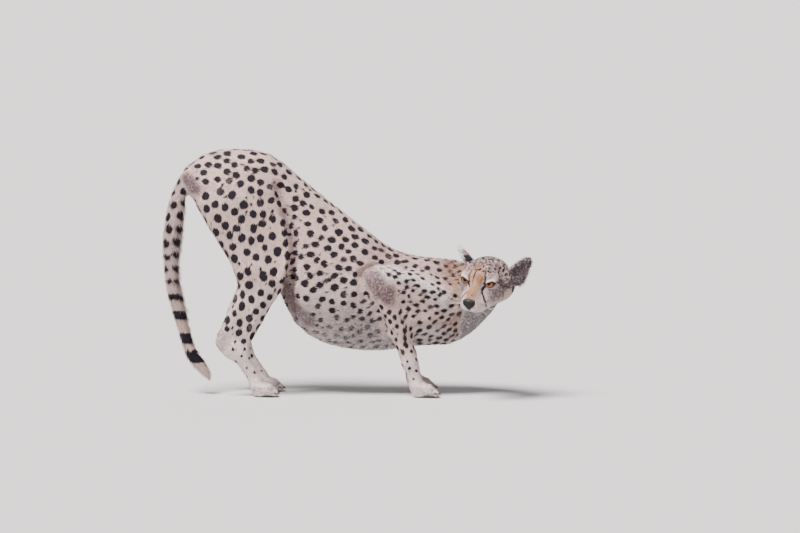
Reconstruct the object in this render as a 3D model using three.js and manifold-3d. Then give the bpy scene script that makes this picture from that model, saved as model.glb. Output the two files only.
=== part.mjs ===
// A life-size cheetah. It stands on straight hind legs with the forequarters crouched low,
// the elbows above the chest, the tail hanging and the head turned to its right.
// Millimetres. +X is the way the body faces, +Y the animal's left, +Z up, and the floor is z = 0.
// Everything is laid out about a point between the feet, and centred at the end.
//
// The flesh is a set of distance fields: tapered strokes for muscles and bones, and sweeps for the
// body and tail. Each node is a closed skin of rays cast from a bone to the field's surface,
// parted from its neighbours by thin cuts.

import * as THREE from "three";
import { mergeVertices } from "three/addons/utils/BufferGeometryUtils.js";
import Module from "manifold-3d";

const wasm = await Module();
wasm.setup();

// ---------------------------------------------------------------- driving dimensions

const GAP = 0.3; // the thin cut between two neighbours
const EYE_RADIUS = 18;
const EYE_SPREAD = 39; // from the middle of the face to the centre of an eyeball
const EAR_HEIGHT = 80;
const CLAW_LENGTH = 15;
const STRIDE = 20; // how far the sole of the left hind foot stands ahead of the right one
const HOCK_HEIGHT = 180;
const HAUNCH_FLARE = 22; // how far the body swells around the root of a hind leg
const SHOULDER_FLARE = 12; // and of a foreleg

const radians = THREE.MathUtils.degToRad;
const HEAD_TURN = radians(113); // from the body's heading, to the right
const HEAD_NOD = radians(15);
const HEAD_TILT = radians(-7.5); // the left side lower

const LEFT = 1;
const RIGHT = -1;

const at = (x, y, z) => new THREE.Vector3(x, y, z);
const BETWEEN_EYES = at(405, -218, 367);

// ---------------------------------------------------------------- distance fields

/** The union of two distances, rounded over a width. */
function blend(a, b, width) {
  const share = Math.max(width - Math.abs(a - b), 0) / width;
  return Math.min(a, b) - (share * share * width) / 4;
}

/** Several forms as one, rounded where they meet. */
function flesh(width, ...forms) {
  return (p) => forms.reduce((d, form) => blend(d, form(p), width), Infinity);
}

/** A tapered stroke between two points. Its thickness across the body is scaled by flat. */
function stroke(from, to, fromRadius, toRadius, flat = 1) {
  const along = at(to.x - from.x, (to.y - from.y) / flat, to.z - from.z);
  const squared = along.lengthSq();
  const thinner = Math.min(1, flat);
  return (p) => {
    const x = p.x - from.x;
    const y = (p.y - from.y) / flat;
    const z = p.z - from.z;
    const reach = (x * along.x + y * along.y + z * along.z) / squared;
    const t = THREE.MathUtils.clamp(reach, 0, 1);
    const away = Math.hypot(x - along.x * t, y - along.y * t, z - along.z * t);
    return (away - fromRadius - (toRadius - fromRadius) * t) * thinner;
  };
}

/** An ellipsoid. */
function ball(centre, rx, ry = rx, rz = rx) {
  const least = Math.min(rx, ry, rz);
  return (p) =>
    (Math.hypot((p.x - centre.x) / rx, (p.y - centre.y) / ry, (p.z - centre.z) / rz) - 1) * least;
}

/** The same form on both sides of the middle plane. */
const paired = (form) => (p) => form(at(p.x, Math.abs(p.y), p.z));

// ---------------------------------------------------------------- sweeps

const SLICES = 90;

/**
 * A body swept through oval slices. A station gives the slice's top and bottom point,
 * its half width, and how much wider it is low down than high up.
 */
class Sweep {
  constructor(stations, squareness) {
    this.squareness = squareness;
    this.tops = new THREE.CatmullRomCurve3(stations.map((s) => s.top));
    this.bottoms = new THREE.CatmullRomCurve3(stations.map((s) => s.bottom));
    this.widths = new THREE.CatmullRomCurve3(stations.map((s) => at(s.half, s.sag ?? 0, 0)));
    this.last = stations.length - 1;
    this.slices = Array.from({ length: SLICES + 1 }, (_, i) => this.slice((i / SLICES) * this.last));
  }

  centre(t) {
    const top = this.tops.getPoint(t);
    return top.add(this.bottoms.getPoint(t)).multiplyScalar(0.5);
  }

  /** The slice at a station number, which may lie between two stations. */
  slice(number) {
    const t = number / this.last;
    const top = this.tops.getPoint(t);
    const bottom = this.bottoms.getPoint(t);
    const up = top.clone().sub(bottom);
    const depth = up.length() / 2;
    up.normalize();
    const step = 0.01;
    const axis = this.centre(Math.min(1, t + step)).sub(this.centre(Math.max(0, t - step)));
    const side = up.clone().cross(axis).normalize();
    const width = this.widths.getPoint(t);
    const origin = top.add(bottom).multiplyScalar(0.5);
    return { origin, up, side, axis: side.clone().cross(up), depth, half: width.x, sag: width.y };
  }

  /** The distance in a slice, with a rounded end beyond the first and the last one. */
  inSlice(s, next, share, p, beyondEnd) {
    const mix = (a, b) => a + (b - a) * share;
    const d = p.clone().sub(s.origin.clone().lerp(next.origin, share));
    const depth = mix(s.depth, next.depth);
    const high = d.dot(s.up.clone().lerp(next.up, share).normalize()) / depth;
    const half = mix(s.half, next.half);
    const spread = 1 - mix(s.sag, next.sag) * THREE.MathUtils.clamp(high, -1, 1);
    const wide = d.dot(s.side.clone().lerp(next.side, share).normalize()) / (half * spread);
    const power = this.squareness;
    const round = (Math.abs(high) ** power + Math.abs(wide) ** power) ** (1 / power);
    const least = Math.min(depth, half);
    return (Math.hypot(round, beyondEnd / (0.6 * least)) - 1) * least;
  }

  field() {
    return (p) => {
      const ahead = this.slices.map((s) => p.clone().sub(s.origin).dot(s.axis));
      const first = this.slices[0];
      const last = this.slices[SLICES];
      let nearest = Infinity;
      for (let i = 0; i < SLICES; i++) {
        if (ahead[i] < 0 || ahead[i + 1] >= 0) continue;
        const share = ahead[i] / (ahead[i] - ahead[i + 1]);
        nearest = Math.min(nearest, this.inSlice(this.slices[i], this.slices[i + 1], share, p, 0));
      }
      if (ahead[0] < 0) nearest = Math.min(nearest, this.inSlice(first, first, 0, p, ahead[0]));
      if (ahead[SLICES] < 0) return nearest;
      return Math.min(nearest, this.inSlice(last, last, 0, p, ahead[SLICES]));
    };
  }

  /** Rows of rays for the skin: slices between two station numbers, with rounded ends. */
  rows(from, to, count, caps) {
    const numbers = Array.from({ length: count }, (_, i) => from + ((to - from) * i) / (count - 1));
    return capped(numbers.map((number) => this.slice(number)), caps);
  }

  cutAt(number) {
    const { origin, axis } = this.slice(number);
    return cut(origin, axis);
  }
}

// ---------------------------------------------------------------- skins of rays

/** Rows of rays square to the axis, with rows that tilt towards the axis at both ends. */
function capped(rows, caps) {
  const turn = Math.PI / 2 / caps;
  const first = rows[0];
  const last = rows[rows.length - 1];
  const start = Array.from({ length: caps }, (_, i) => ({ ...first, tilt: Math.PI - i * turn }));
  const end = Array.from({ length: caps }, (_, i) => ({ ...last, tilt: (caps - 1 - i) * turn }));
  return [...start, ...rows.map((row) => ({ ...row, tilt: Math.PI / 2 })), ...end];
}

/** Rows of rays along a straight bone. */
function boneRows(from, to, count, caps) {
  const axis = to.clone().sub(from).normalize();
  const across = at(0, 1, 0);
  const side = across.clone().addScaledVector(axis, -across.dot(axis)).normalize();
  const up = axis.clone().cross(side);
  const rows = Array.from({ length: count }, (_, i) => {
    return { origin: from.clone().lerp(to, i / (count - 1)), up, side, axis };
  });
  return capped(rows, caps);
}

/** How far a ray travels inside the field before it comes out. */
function exitOf(field, origin, direction, reach) {
  const longestStep = 14;
  const shortestStep = 0.8;
  let inside = 0;
  let outside = 0;
  while (outside < reach) {
    const d = field(origin.clone().addScaledVector(direction, outside));
    if (d > 0) break;
    inside = outside;
    outside += THREE.MathUtils.clamp(-0.6 * d, shortestStep, longestStep);
  }
  if (outside >= reach) return reach;
  for (let i = 0; i < 12; i++) {
    const middle = (inside + outside) / 2;
    if (field(origin.clone().addScaledVector(direction, middle)) > 0) outside = middle;
    else inside = middle;
  }
  return inside;
}

/** The closed mesh of the field's surface, as seen from the rows' origins. */
function skin(rows, sides, field, reach = 300) {
  const positions = [];
  const rings = rows.map(({ origin, up, side, axis, tilt }) => {
    const isPole = Math.sin(tilt) < 1e-6;
    return Array.from({ length: isPole ? 1 : sides }, (_, j) => {
      const around = (2 * Math.PI * j) / sides;
      const direction = axis.clone().multiplyScalar(Math.cos(tilt));
      direction.addScaledVector(side, Math.sin(tilt) * Math.cos(around));
      direction.addScaledVector(up, Math.sin(tilt) * Math.sin(around)).normalize();
      const point = origin.clone().addScaledVector(direction, exitOf(field, origin, direction, reach));
      positions.push(point.x, point.y, point.z);
      return positions.length / 3 - 1;
    });
  });
  const faces = [];
  const corner = (ring, j) => ring[j % ring.length];
  rings.slice(1).forEach((ring, i) => {
    const before = rings[i];
    for (let j = 0; j < sides; j++) {
      const [a, b] = [corner(before, j), corner(before, j + 1)];
      const [c, d] = [corner(ring, j), corner(ring, j + 1)];
      if (a !== b) faces.push(a, b, c);
      if (c !== d) faces.push(b, d, c);
    }
  });
  const geometry = new THREE.BufferGeometry();
  geometry.setAttribute("position", new THREE.Float32BufferAttribute(positions, 3));
  geometry.setIndex(faces);
  return geometry;
}

// ---------------------------------------------------------------- solids and cuts

/** A closed geometry as a solid that can be joined and cut. */
function solid(geometry) {
  const bare = geometry.clone();
  bare.deleteAttribute("normal");
  bare.deleteAttribute("uv");
  const merged = mergeVertices(bare, 1e-3);
  return new wasm.Manifold(
    new wasm.Mesh({
      numProp: 3,
      vertProperties: new Float32Array(merged.attributes.position.array),
      triVerts: new Uint32Array(merged.index.array),
    })
  );
}

const cut = (point, normal) => ({ point, normal: normal.clone().normalize() });

/** Everything on the side of a cut that its normal points to. */
function beyond({ point, normal }) {
  const size = 3000;
  const box = new THREE.BoxGeometry(size, size, size).translate(0, 0, size / 2);
  box.applyQuaternion(new THREE.Quaternion().setFromUnitVectors(at(0, 0, 1), normal));
  return solid(box.translate(point.x, point.y, point.z));
}

/** Keeps what lies beyond a cut, or before it with the thin gap left out. */
const keepBeyond = (shape, knife) => shape.intersect(beyond(knife));
const keepBefore = (shape, { point, normal }) =>
  shape.intersect(beyond(cut(point.clone().addScaledVector(normal, -GAP), normal.clone().negate())));

const FLOOR = cut(at(0, 0, 0), at(0, 0, 1));

/**
 * The space beside the body that belongs to a limb: an outline in the x-z plane, carried outwards
 * from a distance off the middle plane, and grown by a gap.
 */
function besideBody(side, inner, outline, grown) {
  const curve = new THREE.SplineCurve([...outline, outline[0]]);
  const count = 20;
  const corners = Array.from({ length: count }, (_, i) => {
    const tangent = curve.getTangent(i / count);
    return curve.getPoint(i / count).add(new THREE.Vector2(tangent.y, -tangent.x).multiplyScalar(grown));
  });
  const depth = 250;
  const prism = new THREE.ExtrudeGeometry(new THREE.Shape(corners), { depth, bevelEnabled: false });
  const start = inner - grown;
  prism.translate(0, 0, side === LEFT ? -start - depth : start).rotateX(Math.PI / 2);
  return solid(prism);
}

// ---------------------------------------------------------------- nodes

const FINISHES = {
  coat: { color: 0xd9c8b4, roughness: 0.85 },
  paleCoat: { color: 0xe4dcd0, roughness: 0.85 },
  darkCoat: { color: 0x6f665f, roughness: 0.85 },
  nose: { color: 0x1c191a, roughness: 0.45 },
  eye: { color: 0xb06a2c, roughness: 0.1 },
  claw: { color: 0x4a4038, roughness: 0.4 },
};

const cheetah = new THREE.Group();

/** Adds a solid as a named mesh with its own material, without the crumbs that a cut can leave. */
function addNode(name, shape, finish) {
  const whole = shape.decompose().reduce((a, b) => (b.volume() > a.volume() ? b : a));
  const made = whole.getMesh();
  const points = new Float32Array(made.numVert * 3);
  for (let i = 0; i < made.numVert; i++) {
    points.set(made.vertProperties.subarray(i * made.numProp, i * made.numProp + 3), i * 3);
  }
  const geometry = new THREE.BufferGeometry();
  geometry.setAttribute("position", new THREE.BufferAttribute(points, 3));
  geometry.setIndex(new THREE.BufferAttribute(made.triVerts, 1));
  geometry.computeVertexNormals();
  const material = new THREE.MeshStandardMaterial({ metalness: 0, ...FINISHES[finish] });
  const mesh = new THREE.Mesh(geometry, material);
  mesh.name = name;
  cheetah.add(mesh);
}

const sideName = (side) => (side === LEFT ? "left" : "right");

/** Points of a limb, by their distance out from the middle plane. The foot leans ahead. */
const limbPoint = (side, ahead) => (x, out, z) =>
  at(x + ahead * THREE.MathUtils.clamp(1 - z / HOCK_HEIGHT, 0, 1), out * side, z);

// ---------------------------------------------------------------- paws

const TOES = [-1.5, -0.5, 0.5, 1.5];
const TOE_SPREAD = 1.12; // how much further apart the tips are than the knuckles
const TOE_RETREAT = 7; // how far an outer toe lies behind its neighbour

/** A paw about the joint at the root of its toes: four toes, the pad and the back of the foot. */
function pawForms(joint, spacing, length) {
  const toes = TOES.map((place) => {
    const ahead = length - TOE_RETREAT * Math.abs(place);
    const across = (share) => joint.y + place * spacing * share;
    const root = at(joint.x - 4, across(0.6), 34);
    const knuckle = at(joint.x + ahead * 0.5, across(1), 27);
    const tip = at(joint.x + ahead - 11, across(TOE_SPREAD), 10.5);
    return flesh(8, stroke(root, knuckle, 14, 12.5), stroke(knuckle, tip, 12.5, 11));
  });
  const pad = ball(at(joint.x + 9, joint.y, 13), 26, 25, 15);
  return flesh(7, ...toes, pad, ball(at(joint.x - 2, joint.y, 33), 21, 23, 22));
}

/** One claw at the tip of each toe: a cone that points forward and down. */
function clawSolids(joint, spacing, length, grown) {
  const slope = radians(118);
  return TOES.map((place) => {
    const x = joint.x + length - TOE_RETREAT * Math.abs(place) - 3;
    const cone = new THREE.ConeGeometry(3.6 + grown, CLAW_LENGTH + 2 * grown, 5);
    cone.scale(1, 1, 0.7).rotateX(Math.PI / 2).rotateY(slope);
    return solid(cone.translate(x, joint.y + place * spacing * TOE_SPREAD, 11));
  });
}

function addPaw(prefix, side, field, { joint, spacing, length, top }) {
  const heel = at(joint.x - 6, joint.y, 22);
  const rows = boneRows(heel, at(joint.x + length * 0.55, joint.y, 17), 5, 3);
  const bare = keepBeyond(keepBeyond(solid(skin(rows, 14, field, 90)), FLOOR), top);
  const slots = clawSolids(joint, spacing, length, GAP);
  const paw = slots.reduce((left, slot) => left.subtract(slot), bare);
  addNode(`${prefix}_paw_${sideName(side)}`, paw, "paleCoat");
  clawSolids(joint, spacing, length, 0).forEach((claw, i) => {
    const name = `${prefix}_claw_${sideName(side)}_${i + 1}`;
    addNode(name, keepBeyond(claw, FLOOR), "claw");
  });
}

// ---------------------------------------------------------------- hind legs

class HindLeg {
  constructor(side) {
    this.side = side;
    this.p = limbPoint(side, side === LEFT ? STRIDE : 0);
    const { p } = this;
    const upper = flesh(
      26,
      stroke(p(-345, 60, 575), p(-232, 84, 380), 78, 46, 0.6), // thigh
      stroke(p(-402, 56, 596), p(-304, 80, 400), 62, 42, 0.6), // hamstrings
      stroke(p(-275, 58, 560), p(-222, 80, 420), 70, 46, 0.55), // front of the thigh
      stroke(p(-218, 88, 378), p(-230, 88, 340), 36, 34, 0.72), // kneecap
      stroke(p(-285, 84, 380), p(-318, 80, 262), 44, 26, 0.7), // calf
      stroke(p(-230, 88, 338), p(-308, 78, 160), 36, 22, 0.8), // shin
      stroke(p(-316, 80, 280), p(-386, 74, 172), 20, 13, 0.75), // tendon of the heel
      stroke(p(-316, 79, 250), p(-352, 75, 172), 30, 26, 0.4) // web before the tendon
    );
    const foot = flesh(
      14,
      stroke(p(-308, 78, 165), p(-320, 76, 142), 24, 27, 0.8),
      stroke(p(-320, 76, 142), p(-385, 74, 160), 25, 19, 0.75),
      stroke(p(-385, 74, 158), p(-362, 75, 124), 17, 18, 0.75),
      stroke(p(-322, 76, 130), p(-274, 78, 52), 26, 22, 0.9)
    );
    this.paw = { joint: p(-268, 78, 40), spacing: 16, length: 70 };
    const { joint, spacing, length } = this.paw;
    this.lower = flesh(12, foot, pawForms(joint, spacing, length));
    this.field = flesh(12, upper, this.lower);
  }

  /** The side of the haunch that belongs to the leg. */
  haunch(grown) {
    const v = (x, z) => new THREE.Vector2(x, z);
    const arch = [v(-150, 40), v(-156, 300), v(-168, 470), v(-212, 596), v(-300, 660), v(-396, 652)];
    return besideBody(this.side, 26, [...arch, v(-462, 572), v(-482, 400), v(-482, 40)], grown);
  }

  addNodes() {
    const { p, side, field } = this;
    const name = sideName(side);
    const knee = cut(p(-262, 84, 344), at(0.25, 0, -1));
    const hock = cut(p(-330, 76, 176), at(-0.25, 0, -1));
    const ankle = cut(p(-280, 78, 60), at(0.35, 0, -1));
    const flank = (q) => blend(field(q), trunk(q), 30);

    const thigh = solid(skin(boneRows(p(-330, 66, 560), p(-270, 82, 400), 7, 4), 14, flank, 200));
    addNode(`thigh_${name}`, keepBefore(thigh.intersect(this.haunch(0)), knee), "coat");

    const shank = solid(skin(boneRows(p(-262, 84, 330), p(-338, 77, 182), 7, 3), 12, field, 170));
    addNode(`shank_${name}`, keepBefore(keepBeyond(shank, knee), hock), "coat");

    const foot = solid(skin(boneRows(p(-346, 75, 156), p(-280, 78, 62), 6, 3), 10, field, 130));
    addNode(`hind_foot_${name}`, keepBefore(keepBeyond(foot, hock), ankle), "paleCoat");

    addPaw("hind", side, this.lower, { ...this.paw, top: ankle });
  }
}

// ---------------------------------------------------------------- forelegs

const CHEST_SIDE = 80; // where the forelegs start, out from the middle plane

class Foreleg {
  constructor(side) {
    this.side = side;
    this.p = limbPoint(side, side === LEFT ? -STRIDE / 2 : 0);
    const { p } = this;
    this.shoulder = flesh(
      26,
      stroke(p(186, 46, 404), p(290, 78, 312), 26, 40, 0.55), // shoulder blade
      stroke(p(226, 80, 350), p(112, 108, 346), 56, 37, 0.5), // triceps
      stroke(p(296, 84, 290), p(130, 108, 330), 46, 36, 0.6), // upper arm
      stroke(p(96, 112, 350), p(84, 114, 360), 33, 24, 0.75) // point of the elbow
    );
    const forearm = flesh(
      20,
      stroke(p(104, 111, 338), p(192, 95, 120), 36, 25, 0.78),
      stroke(p(120, 110, 318), p(164, 102, 220), 39, 30, 0.8), // muscles of the forearm
      ball(p(192, 95, 120), 27, 24, 28), // wrist
      stroke(p(194, 95, 112), p(215, 96, 48), 25, 23)
    );
    this.paw = { joint: p(218, 96, 38), spacing: 17, length: 74 };
    const { joint, spacing, length } = this.paw;
    this.lower = flesh(12, forearm, pawForms(joint, spacing, length));
    this.field = flesh(18, this.shoulder, this.lower);
  }

  /** The space beside the chest that belongs to the leg. */
  armpit(grown) {
    const v = (x, z) => new THREE.Vector2(x, z);
    const front = [v(272, 30), v(238, 104), v(212, 166), v(201, 228), v(322, 226), v(350, 288)];
    const top = [v(318, 352), v(226, 394), v(110, 410), v(48, 388)];
    const back = [v(58, 316), v(106, 226), v(146, 136), v(170, 30)];
    return besideBody(this.side, CHEST_SIDE, [...front, ...top, ...back], grown);
  }

  addNodes() {
    const { p, side, field } = this;
    const name = sideName(side);
    const elbow = cut(p(150, 104, 345), at(-0.92, 0, -0.39));
    const wrist = cut(p(188, 95, 128), at(0.3, 0, -1));
    const ankle = cut(p(211, 96, 56), at(0.3, 0, -1));
    const rooted = (q) => blend(field(q), trunk(q), 14);

    const arm = solid(skin(boneRows(p(280, 84, 300), p(112, 100, 346), 7, 3), 14, rooted, 150));
    addNode(`upper_arm_${name}`, keepBefore(arm.intersect(this.armpit(0)), elbow), "coat");

    const lower = solid(skin(boneRows(p(112, 103, 322), p(186, 95, 138), 7, 3), 10, rooted, 110));
    const beside = keepBefore(keepBeyond(lower, elbow), wrist).intersect(this.armpit(0));
    addNode(`forearm_${name}`, beside, "coat");

    const joint = solid(skin(boneRows(p(190, 95, 122), p(212, 96, 58), 4, 2), 10, this.lower, 70));
    addNode(`wrist_${name}`, keepBefore(keepBeyond(joint, wrist), ankle), "paleCoat");
    addPaw("fore", side, this.lower, { ...this.paw, top: ankle });
  }
}

// ---------------------------------------------------------------- body

/** A slice of the body in the middle plane: top x and z, bottom x and z, half width, sag. */
const upright = (topX, topZ, bottomX, bottomZ, half, sag, y = 0) => ({
  top: at(topX, y, topZ),
  bottom: at(bottomX, y, bottomZ),
  half,
  sag,
});

const body = new Sweep(
  [
    upright(-472, 700, -464, 622, 36, 0), // under the root of the tail
    upright(-442, 730, -418, 588, 62, 0.05), // seat bones
    upright(-396, 748, -374, 520, 76, 0.05),
    upright(-335, 755, -320, 462, 84, 0.05), // hips
    upright(-262, 750, -270, 410, 86, 0.05),
    upright(-196, 721, -232, 366, 88, 0.08), // loin and groin
    upright(-135, 673, -206, 322, 95, 0.12),
    upright(-68, 617, -182, 262, 106, 0.14), // belly
    upright(0, 563, -146, 204, 114, 0.12),
    upright(68, 508, -78, 158, 112, 0.05), // last ribs
    upright(130, 461, 8, 134, 102, 0),
    upright(184, 434, 98, 128, 90, -0.06), // chest
    upright(236, 426, 184, 138, 80, -0.1), // shoulders
    upright(286, 422, 262, 146, 78, -0.08),
    upright(330, 411, 322, 148, 76, -0.05, -4), // root of the neck
    upright(366, 402, 368, 176, 68, -0.06, -22),
    upright(394, 400, 400, 212, 61, -0.12, -52),
    upright(412, 403, 418, 242, 56, -0.16, -92), // throat
    upright(420, 410, 424, 264, 54, -0.16, -136),
  ],
  2.2
);
const LOIN = 5.4;
const LAST_RIB = 9.4;
const NECK_ROOT = 13.7;
const THROAT = 16.9;

const trunk = flesh(
  34,
  body.field(),
  paired(stroke(at(-262, 40, 690), at(-236, 56, 660), 34, 26)), // hip bones
  paired(stroke(at(-470, 34, 672), at(-440, 46, 640), 22, 30)), // seat bones
  paired(stroke(at(-466, 12, 660), at(-462, 20, 636), 20, 22)), // seat, under the tail
  paired(stroke(at(30, 62, 340), at(90, 60, 270), 72, 64, 0.6)), // rib cage
  paired(stroke(at(290, 66, 264), at(216, 84, 226), 56, 44, 0.62)) // breast muscles
);

/** The trunk, swollen a little where the limbs join it. */
function fullTrunk(hindLegs, forelegs) {
  const swelling = (legs, flare, width) => (p) => {
    const nearest = legs.reduce((d, leg) => Math.min(d, leg.field(p)), Infinity);
    return Math.max(blend(trunk(p), nearest, width), trunk(p) - flare);
  };
  const behind = swelling(hindLegs, HAUNCH_FLARE, 30);
  const before = swelling(forelegs, SHOULDER_FLARE, 20);
  return (p) => Math.min(behind(p), before(p));
}

/** The trunk and neck in one, with pockets for the limbs, parted into lengths. */
function addBody(field, hindLegs, forelegs) {
  const pockets = [...hindLegs.map((leg) => leg.haunch(GAP)), ...forelegs.map((leg) => leg.armpit(GAP))];
  const bare = solid(skin(body.rows(0.35, 18, 27, 3), 18, field));
  const whole = pockets.reduce((left, pocket) => left.subtract(pocket), bare);
  const [loin, lastRib, neckRoot] = [LOIN, LAST_RIB, NECK_ROOT].map((number) => body.cutAt(number));
  addNode("hips", keepBefore(whole, loin), "coat");
  addNode("belly", keepBefore(keepBeyond(whole, loin), lastRib), "coat");
  addNode("chest", keepBefore(keepBeyond(whole, lastRib), neckRoot), "coat");
  addNode("neck", keepBefore(keepBeyond(whole, neckRoot), body.cutAt(THROAT)), "coat");
}

// ---------------------------------------------------------------- tail

/** A round slice of the tail: x, z and radius, and how far it swings to the side. */
const TAIL = [
  [-430, 700, 30, 0],
  [-462, 682, 27, 0],
  [-492, 648, 24, 0],
  [-511, 598, 26, -4],
  [-522, 540, 30, -8],
  [-530, 475, 30, -10],
  [-534, 410, 24, -12],
  [-529, 345, 23, -12],
  [-513, 270, 22, -12],
  [-492, 195, 20, -12],
  [-474, 135, 20, -12],
  [-448, 96, 21, -12],
  [-418, 58, 13, -12],
].map(([x, z, radius, y]) => ({ centre: at(x, y, z), radius }));

function addTail(rumpField) {
  const curve = new THREE.CatmullRomCurve3(TAIL.map(({ centre }) => centre));
  const last = TAIL.length - 1;
  const stations = TAIL.map(({ centre, radius }, i) => {
    const up = curve.getTangent(i / last).cross(at(0, 1, 0)).setLength(radius);
    return { top: centre.clone().add(up), bottom: centre.clone().sub(up), half: radius };
  });
  const tail = new Sweep(stations, 2);
  const rump = solid(skin(body.rows(0.35, 6, 10, 3), 18, (p) => rumpField(p) - 2 * GAP));
  const whole = solid(skin(tail.rows(0, last, 21, 2), 8, tail.field())).subtract(rump);
  const upper = tail.cutAt(4.6);
  const lower = tail.cutAt(8.4);
  addNode("tail_root", keepBefore(whole, upper), "coat");
  addNode("tail_middle", keepBefore(keepBeyond(whole, upper), lower), "coat");
  addNode("tail_tip", keepBeyond(whole, lower), "darkCoat");
}

// ---------------------------------------------------------------- head

/** The head's own frame: x to the nose, y to its left, z to the crown, from between the eyes. */
const headFrame = new THREE.Matrix4().makeRotationFromEuler(
  new THREE.Euler(HEAD_TILT, HEAD_NOD, -HEAD_TURN, "ZYX")
);
headFrame.setPosition(BETWEEN_EYES);

const face = flesh(
  16,
  ball(at(-78, 0, 2), 64, 67, 47), // brain case
  ball(at(-26, 0, 14), 46, 44, 33), // forehead
  paired(stroke(at(6, 20, 21), at(-12, 50, 15), 10, 9)), // brows
  paired(ball(at(-6, 41, -1), 19, 26, 24)), // rims of the eyes
  stroke(at(4, 0, 4), at(56, 0, -34), 21, 15), // bridge of the nose
  paired(stroke(at(-4, 43, -24), at(-56, 58, -20), 17, 22)), // cheekbones
  paired(stroke(at(26, 26, -52), at(-52, 46, -54), 23, 25)), // cheeks
  paired(ball(at(-74, 58, -36), 34, 30, 36)), // jaw muscles and ruff
  stroke(at(6, 0, -42), at(46, 0, -54), 35, 27), // muzzle
  paired(ball(at(49, 17, -62), 24, 21, 20)), // whisker pads
  ball(at(-76, 0, -46), 48, 44, 42) // throat
);
const chin = flesh(
  12,
  stroke(at(-24, 0, -80), at(42, 0, -90), 20, 14),
  paired(stroke(at(-60, 40, -62), at(36, 12, -87), 18, 12))
);
const skull = flesh(10, face, chin);
const noseForm = flesh(6, ball(at(69, 0, -46), 12, 19, 13), ball(at(67, 0, -57), 9, 9, 12));

const toWorld = (geometry) => solid(geometry.applyMatrix4(headFrame));

function eyeball(side, grown) {
  const sphere = new THREE.SphereGeometry(EYE_RADIUS + grown, 10, 6);
  return toWorld(sphere.translate(0, EYE_SPREAD * side, 0));
}

function noseLeather(grown) {
  const rows = boneRows(at(63, 0, -50), at(69, 0, -50), 3, 3);
  return toWorld(skin(rows, 10, (p) => noseForm(p) - grown, 40));
}

/** The space of the lower jaw: below the line of the lips, ahead of the corners of the mouth. */
function belowLips(grown) {
  const outline = new THREE.Shape();
  outline.moveTo(-34 - grown, -66 + grown);
  outline.quadraticCurveTo(8, -88 + grown, 38, -81 + grown);
  outline.lineTo(120, -70 + grown);
  outline.lineTo(120, -140);
  outline.lineTo(-34 - grown, -140);
  const depth = 160;
  const prism = new THREE.ExtrudeGeometry(outline, { depth, bevelEnabled: false, curveSegments: 5 });
  return toWorld(prism.translate(0, 0, -depth / 2).rotateX(Math.PI / 2));
}

/** An ear: a cupped shell with a full outer lobe. The left one listens forward. */
function ear(side, around) {
  const [root, axis, opening] =
    side === LEFT
      ? [at(-80, 66, -4), at(-30, 42, 48).normalize(), at(0.8, 0.45, 0.2)]
      : [at(-80, -60, 10), at(-42, -54, 30).normalize(), at(-0.1, -0.8, -0.25)];
  opening.addScaledVector(axis, -opening.dot(axis)).normalize();
  const frame = new THREE.Matrix4().makeBasis(opening, axis.clone().cross(opening), axis);
  frame.setPosition(root);
  const shell = flesh(
    8,
    ball(at(0, 10 * side, EAR_HEIGHT * 0.32), 15, 29, 29),
    ball(at(0, 26 * side, EAR_HEIGHT * 0.12), 12, 18, 20), // lobe
    ball(at(-2, 7 * side, EAR_HEIGHT * 0.66), 11, 18, 21),
    ball(at(-4, 5 * side, EAR_HEIGHT * 0.88), 7, 9, 11)
  );
  const cup = flesh(
    8,
    ball(at(16, 12 * side, EAR_HEIGHT * 0.34), 17, 23, 25),
    ball(at(14, 8 * side, EAR_HEIGHT * 0.68), 16, 11, 15)
  );
  const rows = boneRows(at(-8, 14 * side, 4), at(-7, 6 * side, EAR_HEIGHT * 0.9), 7, 2);
  const carved = (p) => Math.max(shell(p), -cup(p));
  return toWorld(skin(rows, 12, carved, 60).applyMatrix4(frame)).subtract(around);
}

function addHead() {
  const neck = (p) => trunk(p.clone().applyMatrix4(headFrame));
  const field = (p) => blend(skull(p), neck(p), 16);
  const rows = boneRows(at(-98, 0, -14), at(46, 0, -54), 15, 4);
  const bare = keepBeyond(toWorld(skin(rows, 24, field, 135)), body.cutAt(THROAT));
  const holes = [eyeball(LEFT, GAP), eyeball(RIGHT, GAP), noseLeather(GAP)];
  const head = holes.reduce((left, hole) => left.subtract(hole), bare);
  addNode("head", head.subtract(belowLips(GAP)), "coat");
  addNode("jaw", head.intersect(belowLips(0)), "paleCoat");
  addNode("nose", noseLeather(0), "nose");
  const around = toWorld(skin(rows, 24, (p) => field(p) - GAP, 135));
  for (const side of [RIGHT, LEFT]) {
    addNode(`eye_${sideName(side)}`, eyeball(side, 0), "eye");
    addNode(`ear_${sideName(side)}`, ear(side, around), "darkCoat");
  }
}

// ---------------------------------------------------------------- the whole animal

const hindLegs = [RIGHT, LEFT].map((side) => new HindLeg(side));
const forelegs = [RIGHT, LEFT].map((side) => new Foreleg(side));
const trunkField = fullTrunk(hindLegs, forelegs);
addBody(trunkField, hindLegs, forelegs);
addTail(trunkField);
for (const limb of [...hindLegs, ...forelegs]) limb.addNodes();
addHead();

// The origin is on the floor, under the middle of the animal's box.
const middle = new THREE.Box3().setFromObject(cheetah).getCenter(at(0, 0, 0));
cheetah.position.set(-middle.x, -middle.y, 0);

export default cheetah;
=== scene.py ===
import math
from collections import namedtuple

import bmesh
import bpy
import numpy as np
from mathutils import Matrix, Vector, noise
from mathutils.bvhtree import BVHTree
from mathutils.kdtree import KDTree


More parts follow.
